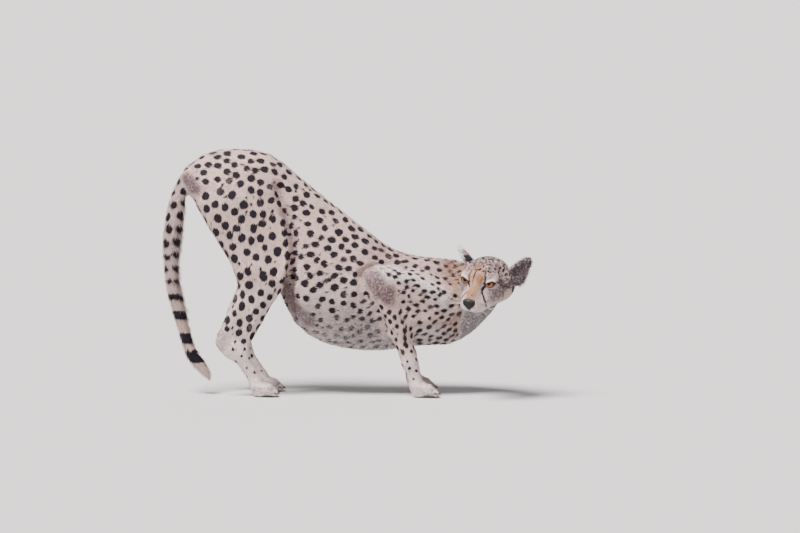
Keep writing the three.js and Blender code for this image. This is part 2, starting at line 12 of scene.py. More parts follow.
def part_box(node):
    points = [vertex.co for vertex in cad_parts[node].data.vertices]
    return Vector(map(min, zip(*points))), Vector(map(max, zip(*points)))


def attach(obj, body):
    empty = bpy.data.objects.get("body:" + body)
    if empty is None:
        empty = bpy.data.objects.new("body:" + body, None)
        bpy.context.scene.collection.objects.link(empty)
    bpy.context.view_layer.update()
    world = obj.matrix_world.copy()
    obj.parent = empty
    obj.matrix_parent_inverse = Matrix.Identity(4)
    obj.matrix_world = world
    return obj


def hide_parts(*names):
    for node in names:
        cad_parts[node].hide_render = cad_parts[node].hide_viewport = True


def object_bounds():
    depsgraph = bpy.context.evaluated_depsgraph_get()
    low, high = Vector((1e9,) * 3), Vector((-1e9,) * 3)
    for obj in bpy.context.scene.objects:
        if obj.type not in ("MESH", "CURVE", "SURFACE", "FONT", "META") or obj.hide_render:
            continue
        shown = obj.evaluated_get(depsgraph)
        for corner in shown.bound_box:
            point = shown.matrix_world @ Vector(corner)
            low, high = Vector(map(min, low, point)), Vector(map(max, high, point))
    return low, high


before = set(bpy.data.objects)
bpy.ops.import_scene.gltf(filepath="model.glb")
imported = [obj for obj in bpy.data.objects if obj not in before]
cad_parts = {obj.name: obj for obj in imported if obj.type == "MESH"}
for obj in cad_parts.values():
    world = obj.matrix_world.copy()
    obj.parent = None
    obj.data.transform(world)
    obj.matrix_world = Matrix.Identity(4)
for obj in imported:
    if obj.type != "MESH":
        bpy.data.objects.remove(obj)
cad_low, cad_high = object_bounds()
chance = np.random.default_rng(11)
noise.seed_set(11)  # else it would start from the clock
MM = 0.001


# ------------------------------------------------------------------ parts of the animal

SIDES = ("right", "left")


def both(stem):
    return [f"{stem}_{side}" for side in SIDES]


def middle(node):
    low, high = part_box(node)
    return (low + high) / 2


# depth: how far the skin lies inside the solids, mm. rounds: how long the facets are smoothed.
# length, width (mm) and lift (degrees) of a tuft, and how many there are to a square centimetre.
# spot and gap: a spot's radius, and the distance from one spot to the next, mm.
# stretch: how many times longer than wide a spot is.
Region = namedtuple("Region", "nodes depth rounds length width lift tufts spot gap stretch")
REGIONS = {
    "hips": Region(["hips"], 2, 22, 11, 1.7, 11, 7, 11.4, 35, 1.15),
    "belly": Region(["belly"], 4.5, 30, 12, 1.7, 12, 7, 10.6, 34, 1.12),
    "chest": Region(["chest"], 5, 26, 12, 1.6, 12, 9, 9.4, 31, 1.1),
    "neck": Region(["neck"], 5, 18, 12, 1.5, 13, 10, 8.0, 23, 1.2),
    "tail_root": Region(["tail_root"], 5, 8, 15, 1.5, 16, 11, 12.2, 33, 1.15),
    "tail_middle": Region(["tail_middle"], 6, 6, 18, 1.5, 18, 15, 13.6, 35, 1.15),
    "tail_tip": Region(["tail_tip"], 7, 6, 22, 1.6, 18, 16, 1, 300, 1.0),
    "thigh": Region(both("thigh"), 3, 20, 11, 1.7, 11, 7, 12.8, 39, 1.12),
    "shank": Region(both("shank"), 3, 20, 8, 1.5, 11, 8, 11.4, 37, 1.2),
    "foot": Region(both("hind_foot") + both("wrist"), 2.5, 20, 6, 1.3, 12, 10, 5.2, 28, 1.1),
    "paw": Region(both("hind_paw") + both("fore_paw"), 2, 3, 4.5, 1.1, 13, 14, 2.2, 26, 1.0),
    "arm": Region(both("upper_arm"), 4, 12, 10, 1.5, 11, 9, 7.4, 23.5, 1.35),
    "forearm": Region(both("forearm"), 3, 10, 8, 1.4, 11, 10, 7.8, 26, 1.35),
    "head": Region(["head", "jaw", "nose"] + both("eye"), 2.2, 4, 4.2, 0.9, 12, 22, 1, 300, 1.0),
    "ear": Region(both("ear"), 1.0, 2, 5, 0.9, 16, 38, 1, 300, 1.0),
}
NAMES = list(REGIONS)
FORMS = [node for region in REGIONS.values() for node in region.nodes]
FLESH = [node for node in FORMS if node not in ["nose"] + both("eye")]
MIDLINE = middle("hips").y  # the trunk's middle, from right to left


# ------------------------------------------------------------------ the head's own frame

EYES = [np.array(middle(node)) for node in both("eye")]
EYE_RADIUS = (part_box("eye_left")[1].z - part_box("eye_left")[0].z) / 2
NOSE_DROP = math.radians(36.5)  # the nose lies this far below the level of the eyes

head_origin = (EYES[0] + EYES[1]) / 2
head_left = (EYES[1] - EYES[0]) / np.linalg.norm(EYES[1] - EYES[0])
to_nose = np.array(middle("nose")) - head_origin
to_nose -= head_left * to_nose.dot(head_left)
to_nose /= np.linalg.norm(to_nose)
nose_up = np.cross(to_nose, head_left)
head_ahead = to_nose * math.cos(NOSE_DROP) + nose_up * math.sin(NOSE_DROP)
head_up = np.cross(head_ahead, head_left)
HEAD_AXES = np.array([head_ahead, head_left, head_up])


def to_head(points):
    """Millimetres ahead, to the left and up, from between the eyes."""
    return (points - head_origin) @ HEAD_AXES.T / MM


def from_head(points):
    return np.asarray(points, float) * MM @ HEAD_AXES + head_origin


# ------------------------------------------------------------------ numbers on a mesh

def smoothstep(value, start, end):
    t = np.clip((value - start) / (end - start), 0, 1)
    return t * t * (3 - 2 * t)


def unit(vectors):
    return vectors / np.maximum(np.linalg.norm(vectors, axis=-1, keepdims=True), 1e-12)


def coordinates(mesh):
    co = np.empty(len(mesh.vertices) * 3)
    mesh.vertices.foreach_get("co", co)
    return co.reshape(-1, 3)


def edge_pairs(mesh):
    pairs = np.empty(len(mesh.edges) * 2, np.int64)
    mesh.edges.foreach_get("vertices", pairs)
    return pairs.reshape(-1, 2)


def triangles(mesh):
    mesh.calc_loop_triangles()
    corners = np.empty(len(mesh.loop_triangles) * 3, np.int64)
    mesh.loop_triangles.foreach_get("vertices", corners)
    return corners.reshape(-1, 3)


def gathered(index, values, count):
    return np.stack([np.bincount(index, column, count) for column in values.T], 1)


class Web:
    """The edges of a mesh, for averages over each point's neighbours."""

    def __init__(self, mesh):
        pairs = edge_pairs(mesh)
        self.here = np.concatenate([pairs[:, 0], pairs[:, 1]])
        self.there = np.concatenate([pairs[:, 1], pairs[:, 0]])
        self.count = len(mesh.vertices)
        self.degree = np.bincount(self.here, minlength=self.count)[:, None]

    def average(self, values):
        return gathered(self.here, values[self.there], self.count) / self.degree

    def spread(self, values, rounds):
        for _ in range(rounds):
            values = 0.5 * values + 0.5 * self.average(values)
        return values

    def relax(self, points, rounds):
        """Smooths points, each for its own number of rounds, without shrinking the form much."""
        for i in range(math.ceil(rounds.max())):
            share = np.clip(rounds - i, 0, 1)[:, None]
            for step in (0.6, -0.52):
                points = points + step * share * (self.average(points) - points)
        return points


def face_crosses(points, corners):
    a, b, c = (points[corners[:, i]] for i in range(3))
    return np.cross(b - a, c - a)


def face_areas(points, corners):
    return np.linalg.norm(face_crosses(points, corners), axis=1) / 2


def normals_of(points, corners):
    across = face_crosses(points, corners)
    return unit(sum(gathered(corners[:, i], across, len(points)) for i in range(3)))


def add_values(mesh, name, values):
    """Gives each point of a mesh a number under a name."""
    data = mesh.attributes.new(name, "FLOAT", "POINT").data
    data.foreach_set("value", values.ravel().astype(np.float32))


# ------------------------------------------------------------------ the skin's mesh

VOXEL = 7.25 * MM
CUT = 0.35 * MM  # more than half of the thin cut between two solids
FACE_REACH = 118  # the back of the head lies this far behind the eyes, mm


def joined_solids(names):
    """Copies of the solids in one mesh, each grown a little, and the name's number of each face."""
    whole = bmesh.new()
    owner = []
    for number, name in enumerate(names):
        piece = bmesh.new()
        piece.from_mesh(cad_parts[name].data)
        bmesh.ops.remove_doubles(piece, verts=piece.verts, dist=1e-5)
        piece.normal_update()
        for vertex in piece.verts:
            vertex.co += vertex.normal * CUT
        owner += [number] * len(piece.faces)
        copy = bpy.data.meshes.new("copy")
        piece.to_mesh(copy)
        whole.from_mesh(copy)
        bpy.data.meshes.remove(copy)
        piece.free()
    return whole, np.array(owner)


def largest_island(body):
    """The vertices of the form with the most of them."""
    unseen = set(body.verts)
    best = set()
    while unseen:
        front = [unseen.pop()]
        island = set(front)
        while front:
            vertex = front.pop()
            for edge in vertex.link_edges:
                other = edge.other_vert(vertex)
                if other in unseen:
                    unseen.discard(other)
                    island.add(other)
                    front.append(other)
        if len(island) > len(best):
            best = island
    return best


def remeshed(body, voxel):
    """The outer surface of a bmesh of overlapping closed forms, as a bmesh of even squares."""
    mesh = bpy.data.meshes.new("solids")
    body.to_mesh(mesh)
    holder = bpy.data.objects.new("solids", mesh)
    bpy.context.scene.collection.objects.link(holder)
    remesh = holder.modifiers.new("remesh", "REMESH")
    remesh.mode = "VOXEL"
    remesh.voxel_size = voxel
    made = bpy.data.meshes.new_from_object(holder.evaluated_get(bpy.context.evaluated_depsgraph_get()))
    bpy.data.objects.remove(holder)
    bpy.data.meshes.remove(mesh)
    result = bmesh.new()
    result.from_mesh(made)
    bpy.data.meshes.remove(made)
    keep = largest_island(result)
    bmesh.ops.delete(result, geom=[v for v in result.verts if v not in keep], context="VERTS")
    return result


def divide(body, wanted):
    """Halves the edges of the faces whose middle is wanted."""
    middles = np.array([face.calc_center_median() for face in body.faces])
    chosen = wanted(middles)
    edges = {edge for face, yes in zip(body.faces, chosen) if yes for edge in face.edges}
    bmesh.ops.subdivide_edges(body, edges=list(edges), cuts=1, use_grid_fill=True)


def nearest_on(tree, points):
    """The nearest point of a surface to each point, and the number of its face."""
    found = [tree.find_nearest(point) for point in points]
    return np.array([hit[0] for hit in found]), np.array([hit[2] for hit in found])


solids, owner = joined_solids(FORMS)
solid_tree = BVHTree.FromBMesh(solids)
region_of_node = np.array([NAMES.index(name) for name in NAMES for _ in REGIONS[name].nodes])
skin_bm = remeshed(solids, VOXEL)

paw_boxes = [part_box(node) for node in REGIONS["paw"].nodes]
ear_boxes = [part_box(node) for node in both("ear")]
head_boxes = [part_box("head"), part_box("jaw")] + ear_boxes


def inside_boxes(points, boxes, margin):
    """Which points are in one of the boxes, or within the margin of it."""
    hit = np.zeros(len(points), bool)
    for low, high in boxes:
        hit |= ((points > np.array(low) - margin) & (points < np.array(high) + margin)).all(1)
    return hit


def near_head(points):
    local = to_head(points)
    return inside_boxes(points, head_boxes, 2 * MM) & (local[:, 0] > -FACE_REACH)


def lip_height(ahead):
    """The line of the closed lips, up from the level of the eyes, along the side of the muzzle."""
    t = np.linspace(0, 1, 30)
    x = -30 * (1 - t) ** 2 + 2 * 8 * t * (1 - t) + 38 * t**2
    z = -82 * (1 - t) ** 2 - 2 * 91 * t * (1 - t) - 82 * t**2
    return np.interp(ahead, np.append(x, 120), np.append(z, -70))


def near_face(points):
    ears = inside_boxes(points, ear_boxes, 1 * MM)
    return near_head(points) & ((to_head(points)[:, 0] > -70) | ears)


def near_features(points):
    """The eyes, the nose and the mouth."""
    x, y, z = to_head(points).T
    eyes = (np.hypot(abs(y) - 36, (z + 1) * 1.25) < 25) & (x > -12)
    muzzle = (x > 46) & (z < -32) & (abs(y) < 26)
    lips = (x > -26) & (abs(z - lip_height(x)) < 5)
    return near_head(points) & (eyes | muzzle | lips)


divide(skin_bm, lambda p: near_head(p) | inside_boxes(p, paw_boxes, 2 * MM))
divide(skin_bm, near_face)
divide(skin_bm, near_features)
bmesh.ops.triangulate(skin_bm, faces=[face for face in skin_bm.faces if len(face.verts) > 4])

skin_mesh = bpy.data.meshes.new("skin")
skin_bm.to_mesh(skin_mesh)
skin_bm.free()
skin_co = coordinates(skin_mesh)
corners = triangles(skin_mesh)
web = Web(skin_mesh)

surface, face_index = nearest_on(solid_tree, skin_co)
label = region_of_node[owner[face_index]]
weight = web.spread(np.eye(len(NAMES))[label], 24)
weight /= weight.sum(1, keepdims=True)


def by_region(field):
    """A region's value at each point of the skin, mixed where regions meet."""
    return weight @ np.array([getattr(REGIONS[name], field) for name in NAMES], float)


def share(*names):
    """How much of each point of the skin belongs to the regions, from 0 to 1."""
    return sum(weight[:, NAMES.index(name)] for name in names)


def smooth_trunk(points):
    """Two rounds of smoothing, away from the face and the paws."""
    return web.relax(points, np.where(share("head", "ear", "paw") > 0.1, 0, 2))


fine = smoothstep(share("head", "ear") + 0.7 * share("paw"), 0.3, 0.7)[:, None]
skin_co = skin_co + fine * (surface - skin_co)
rounds = by_region("rounds") * (1 + 1.2 * share("head", "ear"))
skin_co = web.relax(skin_co, rounds)
skin_normal = normals_of(skin_co, corners)
skin_co -= skin_normal * by_region("depth")[:, None] * MM

# where a limb lies against the trunk, the trunk dips beside it
limb = np.isin(label, [NAMES.index(name) for name in ("thigh", "arm", "forearm", "shank")])
limb = web.spread(limb[:, None].astype(float), 5)[:, 0]
beside = smoothstep(limb, 0.02, 0.3) * (1 - smoothstep(limb, 0.42, 0.8))
low_down = 1 - smoothstep(skin_co[:, 2], 0.36, 0.6)
behind_forearm = smoothstep(0.22 - skin_co[:, 0], 0, 0.08) * (skin_co[:, 0] > 0.02)
depth = 3.0 + 4.0 * low_down + 5.0 * behind_forearm
dip = beside * depth * smoothstep(abs(skin_co[:, 1] - MIDLINE), 0.03, 0.06)
skin_co -= skin_normal * (dip * MM)[:, None]
skin_co = smooth_trunk(skin_co)

# hock and wrist flow into the legs
near_joint = np.zeros(len(skin_co))
for node in both("hind_foot") + both("wrist"):
    low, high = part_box(node)
    joint = np.array([(low.x + high.x) / 2 - 0.02, (low.y + high.y) / 2, high.z - 0.01])
    away = np.linalg.norm(skin_co - joint, axis=1)
    near_joint = np.maximum(near_joint, smoothstep(0.09 - away, 0, 0.05))
skin_co = web.relax(skin_co, 40 * near_joint)


# ------------------------------------------------------------------ folds, lids and lips

# places on the flank, ahead and up, metres
FLANK = [(-0.204, 0.638), (-0.191, 0.595), (-0.167, 0.528), (-0.155, 0.457), (-0.155, 0.42)]
FLANK += [(-0.172, 0.356)]
THIGH_EDGE = [(-0.218, 0.63), (-0.207, 0.59), (-0.186, 0.52), (-0.174, 0.457), (-0.175, 0.42)]
THIGH_EDGE += [(-0.192, 0.365)]
GROIN = [(-0.186, 0.352), (-0.174, 0.325), (-0.162, 0.300), (-0.144, 0.272)]
BELLY_FOLD = [(-0.170, 0.285), (-0.123, 0.243), (-0.078, 0.216), (-0.032, 0.203)]
ABOVE_ARM = [(0.126, 0.406), (0.181, 0.398), (0.235, 0.378), (0.289, 0.340)]
ARM_RIDGE = [(0.106, 0.383), (0.146, 0.378), (0.211, 0.362), (0.274, 0.322), (0.300, 0.296)]
BEHIND_ARM = [(0.048, 0.375), (0.071, 0.320), (0.096, 0.262), (0.124, 0.205)]
# path, half width and depth (mm), and the limb that the left side's path goes with
FOLDS = (
    (FLANK, 27, 24, "thigh"),
    (THIGH_EDGE, 24, -9, "thigh"),
    (BELLY_FOLD, 16, 6, "thigh"),
    (ABOVE_ARM, 12, 6, "forearm"),
    (ARM_RIDGE, 28, -7, "forearm"),
    (BEHIND_ARM, 18, 11, "forearm"),
)


def lengths_of(path, places):
    """For each length of a path: its direction, and how far places are from it."""
    path = np.asarray(path, float)
    for a, b in zip(path[:-1], path[1:]):
        along = b - a
        t = np.clip((places - a) @ along / max(along.dot(along), 1e-12), 0, 1)
        yield along, np.linalg.norm(places - a - t[:, None] * along, axis=1)


def near_path(points, path, width):
    """How close points are to a line through a path: 1 on it, 0 beyond the width."""
    nearest = np.min([away for _, away in lengths_of(path, points)], axis=0)
    return smoothstep(width - nearest, 0, width)


def flat(points):
    """Points moved onto the animal's middle plane."""
    return points * [1, 0, 1]


def mirrored(path):
    return [(x, -y, z) for x, y, z in path]


LEFT = (list,)
BOTH = (list, mirrored)


def fold_share(path, width, limb):
    """How close the skin is to a path along both flanks; the left one follows its own limb."""
    close = np.zeros(len(skin_co))
    step = middle(f"{limb}_left") - middle(f"{limb}_right")
    for sign, shift in ((-1, 0), (1, step.x)):
        line = [(x + shift, 0, z) for x, z in path]
        side = smoothstep(sign * (skin_co[:, 1] - MIDLINE), 0.02, 0.05)
        close = np.maximum(close, near_path(flat(skin_co), line, width * MM) * side)
    return close


skin_normal = normals_of(skin_co, corners)
for path, width, depth, limb in FOLDS:
    skin_co = skin_co - skin_normal * (fold_share(path, width, limb) * depth * MM)[:, None]
skin_co = smooth_trunk(skin_co)


LID = 1.3  # the lid's edge lies this far over the eyeball, mm
LIDS_REACH = 26  # lids and their dark rim stay this near the eye's middle, mm


def almond(points, side):
    """Millimetres outside the opening between the lids, and the point's place over the eyeball."""
    local = to_head(points) - to_head(EYES[0 if side < 0 else 1])
    local[:, 1] *= side
    gaze = unit(np.array([0.94, 0.26, 0.10]))
    out = unit(np.cross([0, 0, 1.0], gaze))
    up = np.cross(gaze, out)
    radius = EYE_RADIUS / MM
    forward = local @ gaze
    across = np.arctan2(local @ out, forward) * radius
    height = np.arctan2(local @ up, forward) * radius
    tilt = math.radians(17)
    along = across * math.cos(tilt) + height * math.sin(tilt)
    over = height * math.cos(tilt) - across * math.sin(tilt)
    half = np.where(along > 0, 15.5, 17.5)
    reach = np.clip(1 - (along / half) ** 2, 0, None)
    upper = 6.0 * reach**0.5
    lower = 8.0 * reach**0.75
    edge = np.where(over > 0, over - upper, -over - lower)
    beyond = np.hypot(np.clip(abs(along) - half, 0, None), over * (abs(along) > half))
    outside = np.where(abs(along) > half, beyond, edge)
    return np.where(forward > 0, outside, 99), local


def shape_lids(points):
    """Lays the skin over the eyeballs as lids, and sinks it inside the opening between them."""
    radius = EYE_RADIUS / MM
    for side, eye in zip((-1, 1), EYES):
        outside, local = almond(points, side)
        distance = np.linalg.norm(local, axis=1)
        lid = radius + LID + 0.7 * smoothstep(outside, 0.5, 3)
        within = radius - 3.5
        target = np.where(outside < 0, within + (lid - within) * smoothstep(outside, -1.2, 0.1), lid)
        near = (1 - smoothstep(outside, 2.5, 11)) * (distance < radius + 16)
        target = distance + (target - distance) * near
        target = np.where(outside > 0.1, np.maximum(target, radius + LID), target)
        points = eye + unit(points - eye) * (target * MM)[:, None]
    return points


points = to_head(skin_co)
skin_normal = normals_of(skin_co, corners)


def pressed(path, width, depth):
    """The skin moved in along a path on the face, in millimetres; a negative depth moves it out."""
    return skin_co - skin_normal * (near_path(points, path, width) * depth * MM)[:, None]


for flip in BOTH:
    skin_co = pressed(flip([(20, 24, -14), (34, 19, -30), (44, 19, -44)]), 9, 2.4)  # beside the bridge
    skin_co = pressed(flip([(26, 30, -28), (14, 38, -36)]), 10, 1.2)  # below the eye's inner corner
    skin_co = pressed(flip([(14, 14, 22), (2, 40, 24), (-14, 56, 12)]), 8, -2.0)  # brow
    skin_co = pressed(flip([(8, 46, -24), (-8, 60, -16), (-26, 66, -4)]), 11, -2.0)  # cheek bone
    skin_co = pressed(flip([(52, 16, -62), (40, 26, -67), (24, 33, -69)]), 12, -3.0)  # whisker pad
skin_co = pressed([(2, 0, 22), (-40, 0, 42)], 8, 0.8)  # furrow of the forehead
skin_co = pressed([(70, 0, -60), (66, 0, -76)], 2.6, 1.8)  # cleft of the upper lip

LIP_DEPTH = 2.2
NOSE_BED = [72, -4, -50]  # the skin is sunk here, so that the leather lies clear of it
BED_DEPTH = 6


def from_nose(aside):
    """Millimetres from a place a little aside of the middle of the nose's bed."""
    return np.linalg.norm((points - NOSE_BED - [0, aside, 0]) * [1, 0.85, 1], axis=1)


x, y, z = points.T
lips = np.exp(-((z - lip_height(x)) / 1.5) ** 2) * smoothstep(x, -30, 20) * share("head")
skin_co -= skin_normal * (lips * LIP_DEPTH * MM)[:, None]
skin_co -= to_nose * (smoothstep(17 - from_nose(0), 0, 4) * BED_DEPTH * MM)[:, None]
skin_co = shape_lids(skin_co)

skin_normal = normals_of(skin_co, corners)
points = to_head(skin_co)


# ------------------------------------------------------------------ the lie of the coat

def run_of(chain):
    """Middles of nodes, in order."""
    return [np.array(middle(node)) for node in chain]


def pull_along(places, path, reach=0.07):
    """The direction of a path's nearest lengths, mixed smoothly."""
    total = np.zeros_like(places)
    for along, away in lengths_of(path, places):
        total += unit(along) * (1 / (away + reach) ** 4)[:, None]
    return unit(total)


hips_low, hips_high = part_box("hips")
tail_start = np.array([hips_low.x + 0.01, middle("tail_root").y, hips_high.z - 0.03])
root_low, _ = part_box("tail_root")
tail_bend = np.array([root_low.x + 0.03, middle("tail_root").y, root_low.z])
tip_low, tip_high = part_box("tail_tip")
tail_end = np.array([tip_high.x, middle("tail_tip").y, tip_low.z])
down = np.array([0, 0, -1.0])
ahead = np.array([1.0, 0, 0])

spine = run_of(["head", "neck", "chest", "belly", "hips"]) + [tail_start]
tail_path = [tail_start, tail_start * 0.5 + tail_bend * 0.5 + [-0.03, 0, 0.05], tail_bend]
tail_path += run_of(["tail_tip"]) + [tail_end]


def leg_pull(places, near, far):
    """The pull along the leg that is on the point's own side."""
    on_left = places[:, 1] > MIDLINE
    pulls = [pull_along(places, path, 0.03) for path in (near, far)]
    return np.where(on_left[:, None], pulls[1], pulls[0])


def hind_path(side):
    path = run_of([f"{name}_{side}" for name in ("thigh", "shank", "hind_foot", "hind_paw")])
    over_hip = np.array([path[0][0] - 0.02, path[0][1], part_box(f"thigh_{side}")[1].z + 0.05])
    return [over_hip] + path + [path[-1] + ahead * 0.06]


def fore_path(side):
    low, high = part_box(f"upper_arm_{side}")
    out = middle(f"upper_arm_{side}").y
    shoulder = np.array([high.x, out, low.z + 0.03])
    elbow = np.array([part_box(f"forearm_{side}")[0].x + 0.03, out, high.z - 0.05])
    path = run_of([f"wrist_{side}", f"fore_paw_{side}"])
    return [shoulder, elbow] + path + [path[-1] + ahead * 0.06]


back_pull = unit(pull_along(skin_co, spine) + 0.3 * down)
hind_pull = leg_pull(skin_co, hind_path("right"), hind_path("left"))
fore_pull = leg_pull(skin_co, fore_path("right"), fore_path("left"))
tail_pull = pull_along(skin_co, tail_path, 0.03)
snout = from_head([86, 0, -38])
face_pull = unit(skin_co - snout)

# right ear, left ear: its root, the way it points and the way its cup faces, in the head's frame
EAR_ROOTS = ((-80, -60, 10), (-80, 66, -4))
EAR_AXES = ((-42, -54, 30), (-30, 42, 48))
EAR_OPENINGS = ((-0.1, -0.8, -0.25), (0.8, 0.45, 0.2))
ear_pull = np.zeros_like(skin_co)
ear_height = np.zeros(len(skin_co))  # from the root, mm
ear_cup = np.zeros(len(skin_co))  # 1 in the cup, -1 on the back
for side, root, axis, opening in zip((-1, 1), EAR_ROOTS, EAR_AXES, EAR_OPENINGS):
    axis = unit(np.array(axis, float))
    opening = np.array(opening) - axis * axis.dot(opening)
    own = points[:, 1] * side > 0
    ear_pull[own] = from_head(axis) - head_origin
    ear_height[own] = (points[own] - root) @ axis
    world_opening = unit(from_head(opening) - head_origin)
    ear_cup[own] = (skin_normal @ world_opening)[own]
ear_pull = unit(ear_pull)
ear_edge = share("ear") * (1 - smoothstep(np.abs(ear_cup), 0.25, 0.6))
skin_co += skin_normal * (ear_edge * 3.2 * MM)[:, None]

trunk_share = share("hips", "belly", "chest", "neck")[:, None]
lie = back_pull * trunk_share
lie += hind_pull * (share("thigh", "shank") + share("foot", "paw") * (skin_co[:, 0] < 0))[:, None]
lie += fore_pull * (share("arm", "forearm") + share("foot", "paw") * (skin_co[:, 0] >= 0))[:, None]
lie += tail_pull * share("tail_root", "tail_middle", "tail_tip")[:, None]
lie += face_pull * share("head")[:, None] + ear_pull * share("ear")[:, None]
lie -= skin_normal * (lie * skin_normal).sum(1, keepdims=True)
lie = unit(lie)


# ------------------------------------------------------------------ spots

def tree_of(places):
    tree = KDTree(len(places))
    for i, place in enumerate(places):
        tree.insert(place, i)
    tree.balance()
    return tree


def scattered(candidates, gaps, taken=()):
    """Picks candidates in turn that keep their own gap from all that are picked or taken."""
    picked = []
    places = np.empty((len(candidates) + len(taken), 3))
    count = len(taken)
    if count:
        places[:count] = skin_co[list(taken)]
    for i in candidates:
        away = np.linalg.norm(places[:count] - skin_co[i], axis=1)
        if (away > gaps[i]).all():
            places[count] = skin_co[i]
            count += 1
            picked.append(i)
    return picked


area = np.zeros(len(skin_co))
for i in range(3):
    area += np.bincount(corners[:, i], face_areas(skin_co, corners) / 3, len(skin_co))

# spots set apart at random, then moved some of the way to the middles of their own fields
gap = by_region("gap") * MM
plain = share("head", "ear", "tail_tip")
order = chance.choice(len(skin_co), 30000, replace=False, p=area / area.sum())
order = order[plain[order] < 0.55]
centres = scattered(order, 0.76 * gap)
for _ in range(4):
    nearest = np.array([hit[1] for hit in map(tree_of(skin_co[centres]).find, skin_co)])
    moved = gathered(nearest, skin_co * area[:, None], len(centres))
    moved /= np.bincount(nearest, area, len(centres))[:, None]
    mixed = skin_co[centres] * 0.45 + moved * 0.55
    skin_tree = tree_of(skin_co)
    centres = [skin_tree.find(place)[1] for place in mixed]
small = scattered(order[:3000], 0.55 * gap, centres)
tail_share = share("tail_root", "tail_middle", "tail_tip")

# the tail's own spots, in rows around it
FIRST_ROW = 0.350
ROW_STEP = 0.039
ROW_TURNS = (-125, -42, 48, 145)  # degrees from the right side
rows = []
for i in range(8):
    height = FIRST_ROW + ROW_STEP * i
    core = skin_co[(tail_share > 0.6) & (abs(skin_co[:, 2] - height) < 0.01)].mean(0)
    for turn in ROW_TURNS:
        turn = math.radians(turn + 10 * (-1) ** i + chance.uniform(-9, 9))
        rise = chance.uniform(-5, 5) * MM + 0.008 * (turn > 0)
        out = np.array([math.sin(turn), -math.cos(turn), 0]) * 0.03 + [0, 0, rise]
        rows.append(skin_tree.find(core + out)[1])
centres = [i for i in centres if tail_share[i] < 0.5 or skin_co[i, 2] > 0.64] + rows
small = [i for i in small if tail_share[i] < 0.3]

# no spot touches the next one
spot_index = np.array(centres + small)
spot_size = by_region("spot")[spot_index] * chance.uniform(0.88, 1.14, len(spot_index))
spot_size[len(centres):] *= chance.uniform(0.25, 0.6, len(small))
large_tree = tree_of(skin_co[centres])
to_next = np.array([large_tree.find_n(place, 2)[1][2] for place in skin_co[centres]]) / MM
to_large = np.array([large_tree.find(place)[2] for place in skin_co[small]]) / MM
spot_size[:len(centres)] = np.minimum(spot_size[:len(centres)] * 1.06, 0.43 * to_next)
SMALLEST_SPOT = 1.2
most = np.maximum(0.3 * to_large, SMALLEST_SPOT)
spot_size[len(centres):] = np.clip(spot_size[len(centres):], SMALLEST_SPOT, most)
stretch = by_region("stretch")[spot_index] * chance.uniform(0.92, 1.18, len(spot_index))


def ripple(places, scale, height):
    """A smooth random shift of places, in metres."""
    return np.array([noise.noise_vector(Vector(p) * scale) for p in places]) * height


# spot: millimetres outside the nearest spot's ragged edge, negative in it
spot_tree = tree_of(skin_co[spot_index])
wavy = skin_co + ripple(skin_co, 45, 3.2 * MM) + ripple(skin_co, 120, 1.2 * MM)
spot = np.full(len(skin_co), 40.0)
hits = [spot_tree.find_n(place, 3) for place in wavy]
# weak: how faded the nearest spot is, which few are
weak = (chance.random(len(spot_index)) < 0.11) * chance.uniform(0.04, 0.16, len(spot_index))
weak = weak[np.array([hit[0][1] for hit in hits])]
for rank in range(3):
    number = np.array([hit[rank][1] for hit in hits])
    offset = (wavy - skin_co[spot_index[number]]) / MM
    axis = lie[spot_index[number]]
    along = (offset * axis).sum(1)
    across = np.sqrt(np.maximum((offset**2).sum(1) - along**2, 0))
    long = np.sqrt(stretch[number])
    spot = np.minimum(spot, np.hypot(along / long, across * long) - spot_size[number])
spot += 40 * smoothstep(plain - 0.7 * share("tail_tip"), 0.35, 0.6)

# rings of the tail: where each starts and ends over the height of its tip, and how far it is faded
RINGS = ((0.26, 0.48, 0), (0.57, 0.72, 0), (0.94, 1.07, 0), (1.24, 1.34, 1.5))
weak = np.where(share("tail_middle", "tail_tip") > 0.3, 0, weak)
height = (skin_co[:, 2] - tip_low.z) / (tip_high.z - tip_low.z)
height += ripple(skin_co, 30, 0.03)[:, 0]
length = (tip_high.z - tip_low.z) / MM
for low, high, faint in RINGS:
    ring = np.maximum(low - height, height - high) * length + 60 * (tail_share < 0.4)
    spot = np.minimum(spot, ring + faint)


# ------------------------------------------------------------------ markings of the face

face_points = np.flatnonzero(share("head", "ear") > 0.6)
face_tree = tree_of(skin_co[face_points])
FAR = 99.0  # where a marking does not reach


def on_skin(path):
    """Points of the face's surface nearest to a path in the head's frame, in metres."""
    path = np.asarray(path, float)
    steps = [np.linspace(a, b, 6)[:-1] for a, b in zip(path[:-1], path[1:])]
    dense = np.concatenate(steps + [path[-1:]])
    return np.array([face_tree.find(from_head(place))[0] for place in dense])


def off_path(path):
    """Millimetres from a line on the skin, up to FAR."""
    nearest = np.full(len(skin_co), FAR)
    on_head = share("head", "ear") > 0.02
    away = np.min([away for _, away in lengths_of(on_skin(path), skin_co[on_head])], axis=0)
    nearest[on_head] = np.minimum(away / MM, FAR)
    return nearest


def with_lines(marking, lines):
    """Adds drawn lines to a marking: path, half width in millimetres, and sides of the face."""
    for path, width, sides in lines:
        for flip in sides:
            marking = np.minimum(marking, off_path(flip(path)) - width)
    return marking


